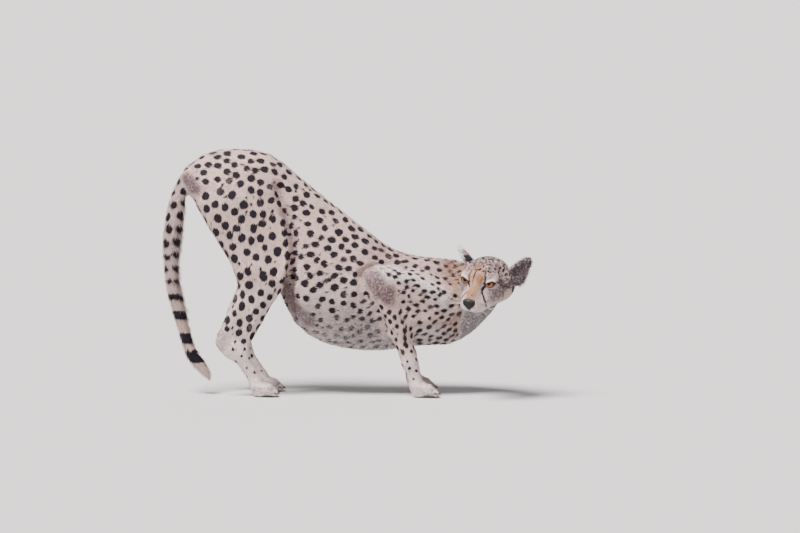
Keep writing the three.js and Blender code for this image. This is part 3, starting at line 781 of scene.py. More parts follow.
TEAR = [(17, 23, 1), (20, 22, -8), (25, 21, -17), (32, 25, -27), (38, 31, -36), (42, 37, -45)]
TEAR += [(43, 40, -55)]
BLACK_LINES = (
    (TEAR, 3.3, BOTH),
    ([(18, 23, -2), (20, 22, -8), (24, 21, -15)], 5.2, BOTH),  # the tear line's broad start
    ([(43, 40, -55), (36, 41, -66), (22, 38, -77)], 2.6, BOTH),  # and its end beside the mouth
    ([(14, 25, 18), (15, 25, 7), (18, 23, -2)], 1.5, LEFT),  # up from the eye
    ([(-1, -7, 38), (12, -8, 31), (20, -9, 20)], 1.9, LEFT),  # down the forehead
)
BROWN_LINES = (
    ([(3, 22, 36), (12, 23, 27), (14, 25, 18), (15, 25, 7), (18, 23, -2)], 2.4, BOTH),  # the tan's edge
    ([(20, -9, 20), (27, -9, 7), (34, -7, -4)], 1.7, LEFT),  # on down the forehead
    ([(2, 57, 8), (-6, 63, 4), (-16, 68, -4)], 2.2, BOTH),  # behind the eye
    ([(-31, 67, -35), (-35, 66, -48), (-36, 63, -60)], 1.6, BOTH),  # cheek
    ([(61, 0, -22), (62, 0, -23)], 2.2, LEFT),  # two flecks on the bridge
    ([(66, -4, -29), (66, -3, -29)], 1.2, LEFT),
)

x, y, z = points.T
head_share = share("head", "ear")
ink = spot.copy()  # millimetres outside the black markings, negative in them
brown = np.full(len(skin_co), 60.0)  # the same for the brown ones
for side in (-1, 1):
    outside, local = almond(skin_co, side)
    upper = smoothstep(local[:, 2], 0, 5)
    rim = np.where(np.linalg.norm(local, axis=1) < LIDS_REACH, outside - 2.0 - 1.8 * upper, FAR)
    ink = np.minimum(ink, rim)
ink = with_lines(ink, BLACK_LINES)
brown = with_lines(brown, BROWN_LINES)
lips_dark = np.abs(z - lip_height(x)) - 1.8 + 6 * (1 - smoothstep(x, -20, 34)) + 60 * (head_share < 0.5)
brown = np.minimum(brown, lips_dark)

# small dark dots in rows on the whisker pads
for height in (-52, -57, -62, -67):
    for i in range(5):
        for side in (-1, 1):
            dot = from_head([60 - 6.5 * i, side * (19 + 2.6 * i), height - 1.2 * i])
            place = np.array(face_tree.find(dot)[0])
            brown = np.minimum(brown, np.linalg.norm(skin_co - place, axis=1) / MM - 1.1)

# short dashes over the crown, behind the eyes and down the cheeks
DASH_GAP = 12.5 * MM
to_eye = np.minimum(*(np.linalg.norm(skin_co - eye, axis=1) for eye in EYES))
crown = (head_share > 0.5) & (share("ear") < 0.3) & (x < 4) & (z > -18) & (abs(y) < 74)
crown = chance.permutation(np.flatnonzero(crown & (to_eye > 0.034)))
dashes = scattered(crown[:4000], np.full(len(skin_co), DASH_GAP))
dash_tree = tree_of(skin_co[dashes])
turns = chance.uniform(-1.1, 1.1, len(dashes))[:, None]
dash_lie = lie[dashes] * np.cos(turns) + np.cross(skin_normal[dashes], lie[dashes]) * np.sin(turns)
near_crown = np.flatnonzero((head_share > 0.4) & (x < 12))
wavy = skin_co[near_crown] + ripple(skin_co[near_crown], 110, 4 * MM)
number = np.array([dash_tree.find(place)[1] for place in wavy])
offset = (wavy - skin_co[dashes][number]) / MM
along = (offset * dash_lie[number]).sum(1)
across = np.sqrt(np.maximum((offset**2).sum(1) - along**2, 0))
size = chance.uniform(2.4, 5.4, len(dashes))[number] - 1.6 * smoothstep(-z[near_crown], -8, 16)
dash = np.hypot(along / 1.9, across * 1.15) - size
brown[near_crown] = np.minimum(brown[near_crown], dash)
ink[near_crown] = np.minimum(ink[near_crown], dash + 0.9)

# a dark patch at the root of each ear's back, and a small one below the ear
for centre, size in (((-88, -68, 36), 16), ((-104, 82, 20), 13)):
    patch = np.linalg.norm((points - centre) * [0.8, 1, 1], axis=1) - size
    ink = np.minimum(ink, patch + FAR * (head_share < 0.4) + 30 * smoothstep(ear_cup, -0.1, 0.2))
for side in (-1, 1):
    patch = np.linalg.norm((points - [-70, side * 84, -36]) * [1, 1, 0.65], axis=1) - 8
    ink = np.minimum(ink, patch + 60 * (share("head", "ear", "neck") < 0.5))


# ------------------------------------------------------------------ grounds of the coat

# warm: tan instead of cream
loose = skin_co + ripple(skin_co, 20, 0.03)
warm = share("neck") * 0.75 + share("chest") * 0.3 + share("hips") * 0.06
shoulder = near_path(flat(loose), [(0.335, 0, 0.40), (0.33, 0, 0.30)], 0.07)
warm += 0.35 * shoulder * share("neck", "chest")
tan_half = np.interp(z, [-46, -24, -6, 8, 22, 36], [21, 19, 20, 25, 28, 22])
forehead = smoothstep(tan_half - np.abs(y + 6), -1, 7) * smoothstep(z, -52, -10) * smoothstep(x, -34, -10)
warm = warm + 1.6 * forehead * head_share

# pale: white on muzzle, throat, brows, ear rims and the underside, and along the arm's ridge partly pale
# fur, partly a painted highlight
under = smoothstep(-skin_normal[:, 2], 0.1, 0.85)
pale = 0.5 * under * (1 - head_share) + share("paw", "foot") * 0.5 + share("shank") * 0.25
muzzle_white = smoothstep(-z, 56, 70) * smoothstep(x, 0, 30) * head_share
throat = smoothstep(-z, 60, 84) * head_share
bib = smoothstep(loose[:, 0], 0.335, 0.375) * smoothstep(0.30 - loose[:, 2], 0, 0.05)
bib *= share("neck", "chest")
brow = np.zeros(len(skin_co))
for flip in BOTH:
    over_eye = near_path(points, flip([(12, 34, 14), (9, 44, 15), (4, 54, 12)]), 6)
    under_eye = near_path(points, flip([(22, 26, -10), (17, 38, -13), (10, 50, -10)]), 8)
    brow = np.maximum(brow, np.maximum(over_eye, 0.8 * under_eye))
ear_rim = share("ear") * (1 - smoothstep(np.abs(ear_cup), 0.12, 0.4)) * smoothstep(ear_height, 16, 30)
ear_rim *= np.where(y > 0, 0.4, 1)
ear_tip = share("ear") * smoothstep(ear_height, 52, 66) * (points[:, 1] < 0)
# the arm's ridge paler: partly pale fur, partly a painted highlight where the ridge faces the light
ridge_highlight = 0.8 * fold_share(ARM_RIDGE, 40, "forearm") * share("arm", "forearm", "chest")
belly_pale = 0.3 * smoothstep(0.42 - skin_co[:, 2], 0, 0.1) * share("belly", "chest")
pale += muzzle_white + throat + bib + 0.9 * brow + 0.8 * ear_rim + ear_tip
pale = np.clip(pale + 0.12 * share("tail_root", "tail_middle") + ridge_highlight + belly_pale, 0, 1)

# grey: lilac grey on cheeks, temples and ears; painted shade on the throat and bib under the chin, on the
# low belly and in the fold in front of the thigh
grey_and_shade = np.zeros(len(skin_co))
for flip in BOTH:
    to_cheek, to_temple = (
        np.linalg.norm(points - place, axis=1) / 34 for place in flip([(2, 52, -34), (-34, 64, -2)])
    )
    grey_and_shade += (0.95 * np.exp(-to_cheek**4) + 0.9 * np.exp(-to_temple**2)) * head_share
grey_and_shade *= 1 - muzzle_white
# grey on the ears, and on the bib as painted shade under the chin
grey_and_shade += 0.9 * share("ear") * (1 - ear_rim) * (1 - ear_tip) + 0.9 * bib
grey_and_shade += 0.3 * share("chest", "neck") * (1 - ridge_highlight) + 0.3 * share("tail_root", "tail_middle")
# grey on the throat: painted shade under the chin
grey_and_shade += 0.8 * throat
# the low belly, greyer towards the bottom as painted shade on the underside
low_belly = smoothstep(0.34 - skin_co[:, 2], 0, 0.13) * share("belly", "chest", "hips")
low_belly *= smoothstep(0.2 - skin_co[:, 0], 0, 0.05)
faint_belly = low_belly * smoothstep(0.27 - skin_co[:, 2], 0, 0.08)
# greyer in the fold in front of the thigh: painted shade where the belly lies behind the thigh's edge
flank_fold_shade = fold_share(FLANK, 22, "thigh") * share("belly", "hips", "thigh")
grey_and_shade = np.clip(grey_and_shade + 0.6 * low_belly * (1 - bib) + 0.6 * flank_fold_shade, 0, 1)

# dark hairs and painted shade: dark hairs among the others, and painted shade in the ears' cups, on the
# throat and bib under the chin, and in the groin behind the thigh
# the inside of the ear's cup darker: painted shade in the hollow
ear_cup_shade = share("ear") * smoothstep(ear_cup, 0.0, 0.4)
dark_hairs_and_shade = 0.5 * share("ear") * (1 - 0.6 * ear_rim) * (1 - ear_tip) + 0.9 * ear_cup_shade * (1 - 0.4 * ear_rim)
for flip in BOTH:
    behind_eye = near_path(points, flip([(-16, 64, 2), (-40, 72, -6), (-62, 78, -14)]), 26)
    dark_hairs_and_shade += 0.6 * smoothstep(behind_eye, 0, 0.6) * head_share * (1 - share("ear"))
    dark_hairs_and_shade += 0.55 * near_path(points, flip([(2, 52, -30), (-30, 62, -30)]), 34) * head_share
dark_hairs_and_shade += 0.3 * head_share * (1 - muzzle_white) * (1 - brow) * (1 - 0.5 * forehead)
# bib and throat darker: painted shade under the chin over their white fur
dark_hairs_and_shade += 0.7 * bib + 0.8 * throat
# darker in the groin: dark skin, and painted shade behind the thigh's front edge
dark_hairs_and_shade += 0.8 * fold_share(GROIN, 20, "thigh") * share("belly", "hips")
dark_hairs_and_shade += 0.5 * head_share * (1 - share("ear")) * smoothstep(z, 14, 34) * (1 - forehead)

# worn: thin hair over lilac skin at elbows, heels, groin and the point of the rump
elbow_low, elbow_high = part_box("forearm_right")
elbow = np.array([elbow_low.x, 0, elbow_high.z])
uneven = flat(skin_co + ripple(skin_co, 30, 14 * MM))
patch = near_path(uneven, elbow + [(0.020, 0, -0.024), (0.080, 0, -0.090)], 0.048)
worn = smoothstep(patch, 0.02, 0.6) * share("arm", "forearm")
for side in SIDES:
    low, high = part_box(f"hind_foot_{side}")
    heel = np.array([low.x + 0.015, middle(f"hind_foot_{side}").y, high.z - 0.02])
    away = np.linalg.norm(skin_co - heel, axis=1)
    worn = np.maximum(worn, 0.6 * smoothstep(0.048 - away, 0, 0.034))
ink += 30 * bib + 0.8 * low_belly + 30 * worn
rump = near_path(flat(skin_co), [(-0.477, 0, 0.662), (-0.456, 0, 0.634)], 0.034)
worn = np.maximum(worn, smoothstep(rump, 0.1, 0.7))
dark_hairs_and_shade += 0.6 * rump
groin = near_path(flat(skin_co), [(-0.192, 0, 0.345), (-0.152, 0, 0.272), (-0.105, 0, 0.230)], 0.034)
groin *= share("belly", "hips")
worn = np.maximum(worn, 0.8 * smoothstep(groin, 0.1, 0.6))
ink += 12 * groin + 20 * rump

marks = {
    "ink": ink,
    "brown": brown,
    "warm": np.clip(warm, 0, 1.6),
    "pale": pale,
    "grey_and_shade": np.clip(grey_and_shade, 0, 1),
    "dark_hairs_and_shade": np.clip(dark_hairs_and_shade, 0, 1),
    "faded": np.clip(0.6 * faint_belly + weak * (1 - head_share), 0, 1),
    "worn": worn,
}
for name, values in marks.items():
    add_values(skin_mesh, name, values)


# ------------------------------------------------------------------ finishes

class Nodes:
    """Short names for building a material's nodes."""

    def __init__(self, name):
        self.material = bpy.data.materials.new(name)
        self.material.use_nodes = True
        self.tree = self.material.node_tree
        self.shader = self.tree.nodes["Principled BSDF"]

    def add(self, kind, **settings):
        node = self.tree.nodes.new("ShaderNode" + kind)
        for key, value in settings.items():
            setattr(node, key, value)
        return node

    def plug(self, socket, value):
        if isinstance(value, bpy.types.NodeSocket):
            self.tree.links.new(value, socket)
        elif isinstance(value, (tuple, list)) and len(socket.default_value) == 4:
            socket.default_value = (*value[:3], 1)
        else:
            socket.default_value = value

    def attribute(self, name):
        return self.add("Attribute", attribute_name=name).outputs["Fac"]

    def math(self, operation, a, b=0.0, clamp=False):
        node = self.add("Math", operation=operation, use_clamp=clamp)
        self.plug(node.inputs[0], a)
        self.plug(node.inputs[1], b)
        return node.outputs[0]

    def step(self, value, start, end):
        node = self.add("MapRange", interpolation_type="SMOOTHSTEP")
        self.plug(node.inputs["Value"], value)
        node.inputs["From Min"].default_value = start
        node.inputs["From Max"].default_value = end
        return node.outputs["Result"]

    def mix(self, share, a, b, blend="MIX"):
        node = self.add("Mix", data_type="RGBA", blend_type=blend)
        self.plug(node.inputs["Factor"], share)
        self.plug(node.inputs[6], a)
        self.plug(node.inputs[7], b)
        return node.outputs[2]

    def noise(self, scale, detail=2.0, roughness=0.5):
        place = self.add("TexCoord").outputs["Object"]
        node = self.add("TexNoise")
        self.tree.links.new(place, node.inputs["Vector"])
        node.inputs["Scale"].default_value = scale
        node.inputs["Detail"].default_value = detail
        node.inputs["Roughness"].default_value = roughness
        return node.outputs["Fac"]

    def bump(self, height, depth, strength=1.0):
        node = self.add("Bump")
        self.plug(node.inputs["Height"], height)
        node.inputs["Distance"].default_value = depth
        node.inputs["Strength"].default_value = strength
        self.tree.links.new(node.outputs["Normal"], self.shader.inputs["Normal"])

    def times(self, a, b):
        return self.math("MULTIPLY", a, b)

    def patchy(self, name, noise, start, end):
        """An attribute broken up by a noise."""
        return self.times(self.attribute(name), self.step(noise, start, end))

    def finish(self, roughness, specular, **others):
        self.shader.inputs["Roughness"].default_value = roughness
        self.shader.inputs["Specular IOR Level"].default_value = specular
        for name, value in others.items():
            self.shader.inputs[name.replace("_", " ").title()].default_value = value
        return self.material


CREAM = (0.72, 0.53, 0.475)
TAN = (0.37, 0.172, 0.075)
WHITE = (0.82, 0.755, 0.75)
GREY_AND_SHADE = (0.32, 0.275, 0.30)
DARK_HAIRS_AND_SHADE = (0.10, 0.08, 0.09)
WORN = (0.15, 0.10, 0.112)
BROWN = (0.13, 0.075, 0.055)
INK = (0.022, 0.016, 0.024)
FINE_HAIRS = (0.2, 0.16, 0.14)
SHADED_HAIRS = (0.42, 0.34, 0.34)


def coat_material(name, tufts):
    """The colours of skin and coat alike, from the same markings."""
    n = Nodes(name)
    broad = n.noise(14, 3)
    fine = n.noise(420, 3, 0.6)
    edge = n.times(n.math("SUBTRACT", n.noise(260, 2), 0.5), 1.0 if tufts else 5.0)
    colour = n.mix(n.patchy("warm", broad, 0.2, 0.75), CREAM, TAN)
    colour = n.mix(n.attribute("warm"), colour, n.mix(0.45, colour, TAN))
    colour = n.mix(n.attribute("pale"), colour, WHITE)
    # lilac grey, and grey as painted shade in the flank fold, under the chin and on the low belly
    colour = n.mix(n.patchy("grey_and_shade", n.noise(150, 3), 0.3, 0.62), colour, GREY_AND_SHADE)
    # dark hairs, and painted shade in the ears' cups, under the chin and in the groin
    mottle = n.math("ADD", n.noise(190, 3), n.times(n.attribute("dark_hairs_and_shade"), 0.2))
    colour = n.mix(n.patchy("dark_hairs_and_shade", mottle, 0.44, 0.72), colour, DARK_HAIRS_AND_SHADE)
    colour = n.mix(n.patchy("worn", n.noise(170, 4), 0.0, 0.62), colour, WORN)
    freckle = n.times(n.step(n.noise(130, 1), 0.67, 0.74), 0.55)
    colour = n.mix(freckle, colour, BROWN)
    colour = n.mix(n.step(n.math("ADD", n.attribute("brown"), edge), 1.5, -1.5), colour, BROWN)
    dark = n.step(n.math("ADD", n.attribute("ink"), edge), 1.7, -1.7)
    fading = n.math("SUBTRACT", 1.0, n.patchy("faded", n.noise(110, 3), 0.3, 0.65))
    colour = n.mix(n.times(dark, fading), colour, INK)
    colour = n.mix(n.times(n.step(fine, 0.3, 0.7), 0.22), colour, FINE_HAIRS, "MULTIPLY")
    depth = n.math("ADD", 0.24, n.times(n.attribute("dark_hairs_and_shade"), 0.5))
    shaded = n.times(n.step(n.noise(170, 3), 0.42, 0.7), depth)
    colour = n.mix(shaded, colour, SHADED_HAIRS, "MULTIPLY")
    if tufts:
        light = n.math("ADD", n.times(n.attribute("shade"), 0.36), 0.69)
        # lighter toward each tuft's tip: painted shade at its root, among the other tufts
        light = n.math("ADD", light, n.times(n.attribute("root_shade_fade"), 0.22))
        tint = n.add("CombineXYZ")
        for socket in tint.inputs:
            n.plug(socket, light)
        colour = n.mix(1.0, colour, tint.outputs[0], "MULTIPLY")
    else:
        n.bump(fine, 1.2 * MM, 0.6)
    n.plug(n.shader.inputs["Base Color"], colour)
    return n.finish(0.78, 0.15, sheen_weight=0.06, sheen_roughness=0.5)


def add_piece(name, mesh, replaced, material):
    """A finished mesh as a piece of the animal, in place of its nodes."""
    piece = bpy.data.objects.new(name, mesh)
    bpy.context.scene.collection.objects.link(piece)
    mesh.materials.append(material)
    mesh.shade_smooth()
    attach(piece, "root")
    if replaced:
        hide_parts(*replaced)
    return piece


def finished(bm, name):
    """A bmesh of closed forms as a mesh with its faces outward."""
    bmesh.ops.recalc_face_normals(bm, faces=bm.faces)
    mesh = bpy.data.meshes.new(name)
    bm.to_mesh(mesh)
    bm.free()
    return mesh


skin_mesh.vertices.foreach_set("co", skin_co.ravel())
skin_mesh.update()
skin = add_piece("skin", skin_mesh, FLESH, coat_material("skin", False))


# ------------------------------------------------------------------ eyes

GAZE = unit(np.array([0.97, -0.03, 0.25]))
IRIS = 0.58  # of the eyeball's radius
CORNEA = 0.055  # how far it stands out before the eyeball, of the radius


def eye_material():
    """Amber with fine spokes about a round pupil, darkened above by a painted shadow of the upper lid, by
    the attribute "sight": across, up, ahead.
    """
    n = Nodes("amber_eye")
    sight = n.add("Attribute", attribute_name="sight").outputs["Vector"]
    parts = n.add("SeparateXYZ")
    n.tree.links.new(sight, parts.inputs[0])
    across, up = parts.outputs[0], parts.outputs[1]
    out = n.math("SQRT", n.math("ADD", n.times(across, across), n.times(up, up)))
    turn = n.math("ARCTAN2", across, up)
    spokes = n.add("TexNoise")
    place = n.add("CombineXYZ")
    n.plug(place.inputs[0], n.math("SINE", turn))
    n.plug(place.inputs[1], n.math("COSINE", turn))
    n.plug(place.inputs[2], n.times(out, 0.25))
    n.tree.links.new(place.outputs[0], spokes.inputs["Vector"])
    spokes.inputs["Scale"].default_value = 9
    spokes.inputs["Detail"].default_value = 3
    amber = n.mix(n.step(out, 0.25, 0.6), (0.36, 0.145, 0.05), (0.42, 0.165, 0.06))
    amber = n.mix(n.step(spokes.outputs["Fac"], 0.35, 0.65), amber, (0.30, 0.115, 0.04))
    # the iris darker towards its top: painted shadow of the upper lid
    amber = n.mix(n.times(n.step(up, -0.35, 0.3), 0.9), amber, (0.08, 0.026, 0.012))
    colour = n.mix(n.step(out, 0.34, 0.30), amber, (0.003, 0.003, 0.004))
    colour = n.mix(n.step(out, 0.60, 0.68), colour, (0.02, 0.012, 0.01))
    n.plug(n.shader.inputs["Base Color"], colour)
    return n.finish(0.4, 0.1, coat_weight=0.1, coat_roughness=0.03)


def add_eyes():
    material = eye_material()
    ahead = from_head(GAZE) - head_origin
    ahead = Vector(ahead / np.linalg.norm(ahead))
    up = ahead.cross(Vector(head_left)).normalized()
    across = up.cross(ahead).normalized()
    turn = Matrix((across, up, ahead)).transposed().to_4x4()
    for side, eye in zip(SIDES, EYES):
        bm = bmesh.new()
        bmesh.ops.create_uvsphere(bm, u_segments=64, v_segments=40, radius=1)
        for vertex in bm.verts:
            out = math.hypot(vertex.co.x, vertex.co.y)
            if vertex.co.z > 0:
                vertex.co *= 1 + CORNEA * max(0, 1 - (out / IRIS) ** 2)
        mesh = finished(bm, f"eye_{side}")
        sight = coordinates(mesh)
        mesh.attributes.new("sight", "FLOAT_VECTOR", "POINT").data.foreach_set("vector", sight.ravel())
        mesh.transform(Matrix.Translation(eye) @ turn @ Matrix.Scale(EYE_RADIUS, 4))
        add_piece(f"eyeball_{side}", mesh, [f"eye_{side}"], material)


add_eyes()


# ------------------------------------------------------------------ nose

NOSE_ASIDE = 4.0  # the leather sits this far to the right of the head's middle, mm
NOSE_WIDER = 1.17  # than the solid, and a little higher
NOSE_HIGHER = 1.12
NOSTRIL = [(82, 7, -57), (80, 10, -52), (75, 15, -51)]
CLEFT = [(84, 0, -44), (80, 0, -54), (74, 0, -68)]


def leather_material():
    n = Nodes("nose_leather")
    pebble = n.add("TexVoronoi", feature="F1")
    n.plug(pebble.inputs["Vector"], n.add("TexCoord").outputs["Object"])
    n.plug(pebble.inputs["Scale"], 900)
    # lighter on top: a painted highlight on the black leather
    colour = n.mix(n.attribute("highlit_top"), (0.007, 0.006, 0.007), (0.026, 0.021, 0.023))
    # darkest in the nostrils' hollows: painted shade of the openings
    colour = n.mix(n.attribute("nostril"), colour, (0.003, 0.002, 0.002))
    n.plug(n.shader.inputs["Base Color"], colour)
    n.bump(pebble.outputs["Distance"], 0.5 * MM, 0.5)
    return n.finish(0.5, 0.3)


def add_nose():
    """The leather: wide above, narrow below, with a nostril that curls out on each side."""
    form, _ = joined_solids(["nose"])
    bm = remeshed(form, 0.95 * MM)
    form.free()
    mesh = finished(bm, "nose")
    co = Web(mesh).relax(coordinates(mesh), np.full(len(mesh.vertices), 24))
    normal = normals_of(co, triangles(mesh))
    x, y, z = to_head(co).T
    narrow = smoothstep(-48 - z, 0, 18)
    y = y * (NOSE_WIDER - 0.4 * narrow)
    z = (z + 50) * NOSE_HIGHER - 50
    centred = np.stack([x, y, z], 1)
    leather = tree_of(centred)
    hollow = np.zeros(len(co))
    for flip in BOTH:
        curl = np.array([leather.find(place)[0] for place in flip(NOSTRIL)])
        hollow = np.maximum(hollow, near_path(centred, curl, 3.4))
    sunk = 2.8 * hollow + 1.2 * near_path(centred, CLEFT, 2.0)
    co = from_head(centred - [0, NOSE_ASIDE, 0]) - normal * (sunk * MM)[:, None]
    mesh.vertices.foreach_set("co", co.ravel())
    mesh.update()
    # where the leather's painted highlight lies
    add_values(mesh, "highlit_top", smoothstep(z, -43, -36))
    add_values(mesh, "nostril", smoothstep(hollow, 0.25, 0.7))
    add_piece("nose_leather", mesh, ["nose"], leather_material())


add_nose()


# ------------------------------------------------------------------ claws and whiskers

def plain_material(name, colour, roughness):
    """One colour with fine darker streaks."""
    n = Nodes(name)
    streak = n.step(n.noise(900, 3), 0.3, 0.8)
    n.plug(n.shader.inputs["Base Color"], n.mix(streak, colour, [0.55 * c for c in colour]))
    return n.finish(roughness, 0.5)


def curved_cone(whole, root, tip, sag, radius, tip_radius, sides, rings):
    """Adds a tapered form from root to tip, bent towards sag in its middle."""
    root, tip, sag = Vector(root), Vector(tip), Vector(sag)
    length = (tip - root).length
    bm = bmesh.new()
    bmesh.ops.create_cone(
        bm, cap_ends=True, segments=sides, radius1=radius, radius2=tip_radius, depth=length
    )
    upright = [e for e in bm.edges if abs(e.verts[0].co.z - e.verts[1].co.z) > length / 2]
    bmesh.ops.subdivide_edges(bm, edges=upright, cuts=rings)
    turn = (tip - root).to_track_quat("Z", "Y").to_matrix()
    for vertex in bm.verts:
        t = vertex.co.z / length + 0.5
        vertex.co = (root + tip) / 2 + turn @ vertex.co + sag * (4 * t * (1 - t))
    copy = bpy.data.meshes.new("copy")
    bm.to_mesh(copy)
    bm.free()
    whole.from_mesh(copy)
    bpy.data.meshes.remove(copy)


def add_claws():
    material = plain_material("dark_horn", (0.10, 0.075, 0.06), 0.35)
    for limb in ("hind", "fore"):
        for side in SIDES:
            nodes = [f"{limb}_claw_{side}_{toe}" for toe in (1, 2, 3, 4)]
            bm = bmesh.new()
            for node in nodes:
                low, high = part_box(node)
                out = (low.y + high.y) / 2
                root = (low.x - 0.002, out, high.z - 0.002)
                tip = (high.x - 0.001, out, low.z + 0.0008)
                curved_cone(bm, root, tip, (0.001, 0, 0.0016), 0.0036, 0.0005, 12, 5)
            mesh = finished(bm, f"{limb}_claws_{side}")
            add_piece(f"{limb}_claws_{side}", mesh, nodes, material)


add_claws()


WHISKER_ROWS = ((-54, 3), (-59, 4), (-64, 4), (-69, 3))  # height, mm, and how many


def add_whisker(bm, side, height, i):
    start = from_head([58 - 6.5 * i, side * (20 + 2.6 * i), height])
    place, number, _ = face_tree.find(start)
    out = Vector(skin_normal[face_points[number]])
    back = from_head([-1, side * 0.9, -0.35 + chance.uniform(-0.15, 0.15)]) - head_origin
    length = chance.uniform(0.045, 0.085)
    tip = place + (Vector(back).normalized() * 0.9 + out * 0.55).normalized() * length
    curved_cone(bm, place - out * 0.001, tip, out * 0.006, 0.00030, 0.00008, 4, 6)


def add_whiskers():
    bm = bmesh.new()
    for side in (-1, 1):
        for height, count in WHISKER_ROWS:
            for i in range(count):
                add_whisker(bm, side, height, i)
    material = plain_material("whisker", (0.75, 0.73, 0.7), 0.4)
    add_piece("whiskers", finished(bm, "whiskers"), [], material)


add_whiskers()


# ------------------------------------------------------------------ coat

COATS = {
    "coat_hips": ["hips"],
    "coat_thighs": ["thigh"],
    "coat_belly": ["belly"],
    "coat_chest": ["chest"],
    "coat_neck": ["neck"],
    "coat_tail": ["tail_root", "tail_middle", "tail_tip"],
    "coat_arms": ["arm", "forearm"],
    "coat_shanks": ["shank"],
    "coat_paws": ["foot", "paw"],
    "coat_head": ["head"],
    "coat_ears": ["ear"],
}
PATCH = 0.003  # the size of a tuft on the unwrap


def unwrapped(piece):
    """An unwrap of the skin's own shape, as one place for each corner of each triangle."""
    piece.data.uv_layers.new(name="OFBake")
    bpy.context.view_layer.objects.active = piece
    piece.select_set(True)
    bpy.ops.object.mode_set(mode="EDIT")
    bpy.ops.mesh.select_all(action="SELECT")
    bpy.ops.uv.smart_project(angle_limit=math.radians(66), island_margin=0.003)
    bpy.ops.object.mode_set(mode="OBJECT")
    mesh = piece.data
    places = np.empty(len(mesh.loops) * 2)
    mesh.uv_layers["OFBake"].data.foreach_get("uv", places)
    mesh.calc_loop_triangles()
    loops = np.empty(len(mesh.loop_triangles) * 3, np.int64)
    mesh.loop_triangles.foreach_get("loops", loops)
    return places.reshape(-1, 2)[loops].reshape(-1, 3, 2)


corner_places = unwrapped(skin)
corners = triangles(skin_mesh)
face_area = face_areas(skin_co, corners)
main_region = weight.argmax(1)[corners[:, 0]]

# longer, more lifted fur on the nape, behind the tail, at the ears' feet and on their edges
nape = share("neck") * smoothstep(skin_normal[:, 2], 0.2, 0.8)
tail_under = share("tail_root", "tail_middle") * smoothstep(skin_normal[:, 0], -0.2, 0.8)
ear_foot = share("ear") * smoothstep(24 - ear_height, 0, 16)
belly_fringe = under * share("belly", "chest")
long_fur = 1 + 0.7 * nape + 0.4 * ear_foot + 0.8 * ear_edge + 0.7 * tail_under + 0.35 * belly_fringe
look = {
    "length": by_region("length") * long_fur,
    "width": by_region("width"),
    "lift": by_region("lift") * (1 + 0.8 * nape + 0.3 * tail_under + 1.6 * ear_edge),
    "turn": ripple(skin_co, 22, 0.55)[:, 0],
    **marks,
}
look_values = np.stack(list(look.values()), 1)
STEEPEST = 1.1 / MM


def slope(values):
    """How fast values change over the skin at each point, for each metre along x, y and z."""
    a, b, c = (skin_co[corners[:, i]] for i in range(3))
    f, g, h = (values[corners[:, i]][:, None] for i in range(3))
    out = np.cross(b - a, c - a)
    twice = np.maximum((out**2).sum(1, keepdims=True), 1e-18)
    rise = np.cross(out, c - b) * f + np.cross(out, a - c) * g + np.cross(out, b - a) * h
    rise /= twice
    size = np.sqrt(twice)
    total = sum(gathered(corners[:, i], rise * size, len(skin_co)) for i in range(3))
    shares = sum(np.bincount(corners[:, i], size[:, 0], len(skin_co)) for i in range(3))
    mean = total / np.maximum(shares, 1e-18)[:, None]
    height = np.linalg.norm(mean, axis=1, keepdims=True)
    return mean * np.minimum(1, STEEPEST / np.maximum(height, 1e-9))


slopes = {key: slope(np.clip(marks[key], -20, 30)) for key in ("ink", "brown")}

# no tufts between the lids, under the nose, between the lips and on the soles
no_fur = np.zeros(len(skin_co))
for side in (-1, 1):
    outside, local = almond(skin_co, side)
    no_fur = np.maximum(no_fur, (outside < 2.0) * (np.linalg.norm(local, axis=1) < LIDS_REACH))
no_fur = np.maximum(no_fur, smoothstep(20 - from_nose(1), 0, 3))
no_fur = np.maximum(no_fur, (np.abs(z - lip_height(x)) < 1.0) * (x > -30) * (head_share > 0.5))
sole = smoothstep(0.004 - skin_co[:, 2], 0, 0.002)
density = by_region("tufts") * (1 + 0.5 * nape) * (1 - no_fur) * (1 - sole)


def mesh_of_triangles(name, places, faces):
    """A mesh straight from arrays, which is quick enough for many thousands of tufts."""
    mesh = bpy.data.meshes.new(name)
    mesh.vertices.add(len(places))
    mesh.vertices.foreach_set("co", places.astype(np.float32).ravel())
    mesh.loops.add(faces.size)
    mesh.loops.foreach_set("vertex_index", faces.astype(np.int32).ravel())
    mesh.polygons.add(len(faces))
    mesh.polygons.foreach_set("loop_start", np.arange(0, faces.size, 3, dtype=np.int32))
    mesh.update(calc_edges=True)
    return mesh


# a tuft has two rings of three corners and a tip: faces, places on the unwrap, and how far the painted
# shade at the root has faded
RING = ((-0.5, 0.0), (0.5, 0.0), (0.0, 0.42))  # aside and up, of the width
TUFT_FACES = np.array([
    [0, 1, 4], [0, 4, 3], [1, 2, 5], [1, 5, 4], [2, 0, 3],
    [2, 3, 5], [3, 4, 6], [4, 5, 6], [5, 3, 6], [0, 2, 1],
])
TUFT_PLACES = np.array([
    [-0.5, -0.5], [0.5, -0.5], [0, -0.4], [-0.4, 0], [0.4, 0], [0, 0.1], [0, 0.5],
]) * PATCH
# 0 at the root, in full painted shade, to 1 at the tip
ROOT_SHADE_FADE = [0, 0, 0, 0.55, 0.55, 0.55, 1.0]
CORNERS = len(TUFT_PLACES)
ABOVE_FLOOR = 0.2 * MM


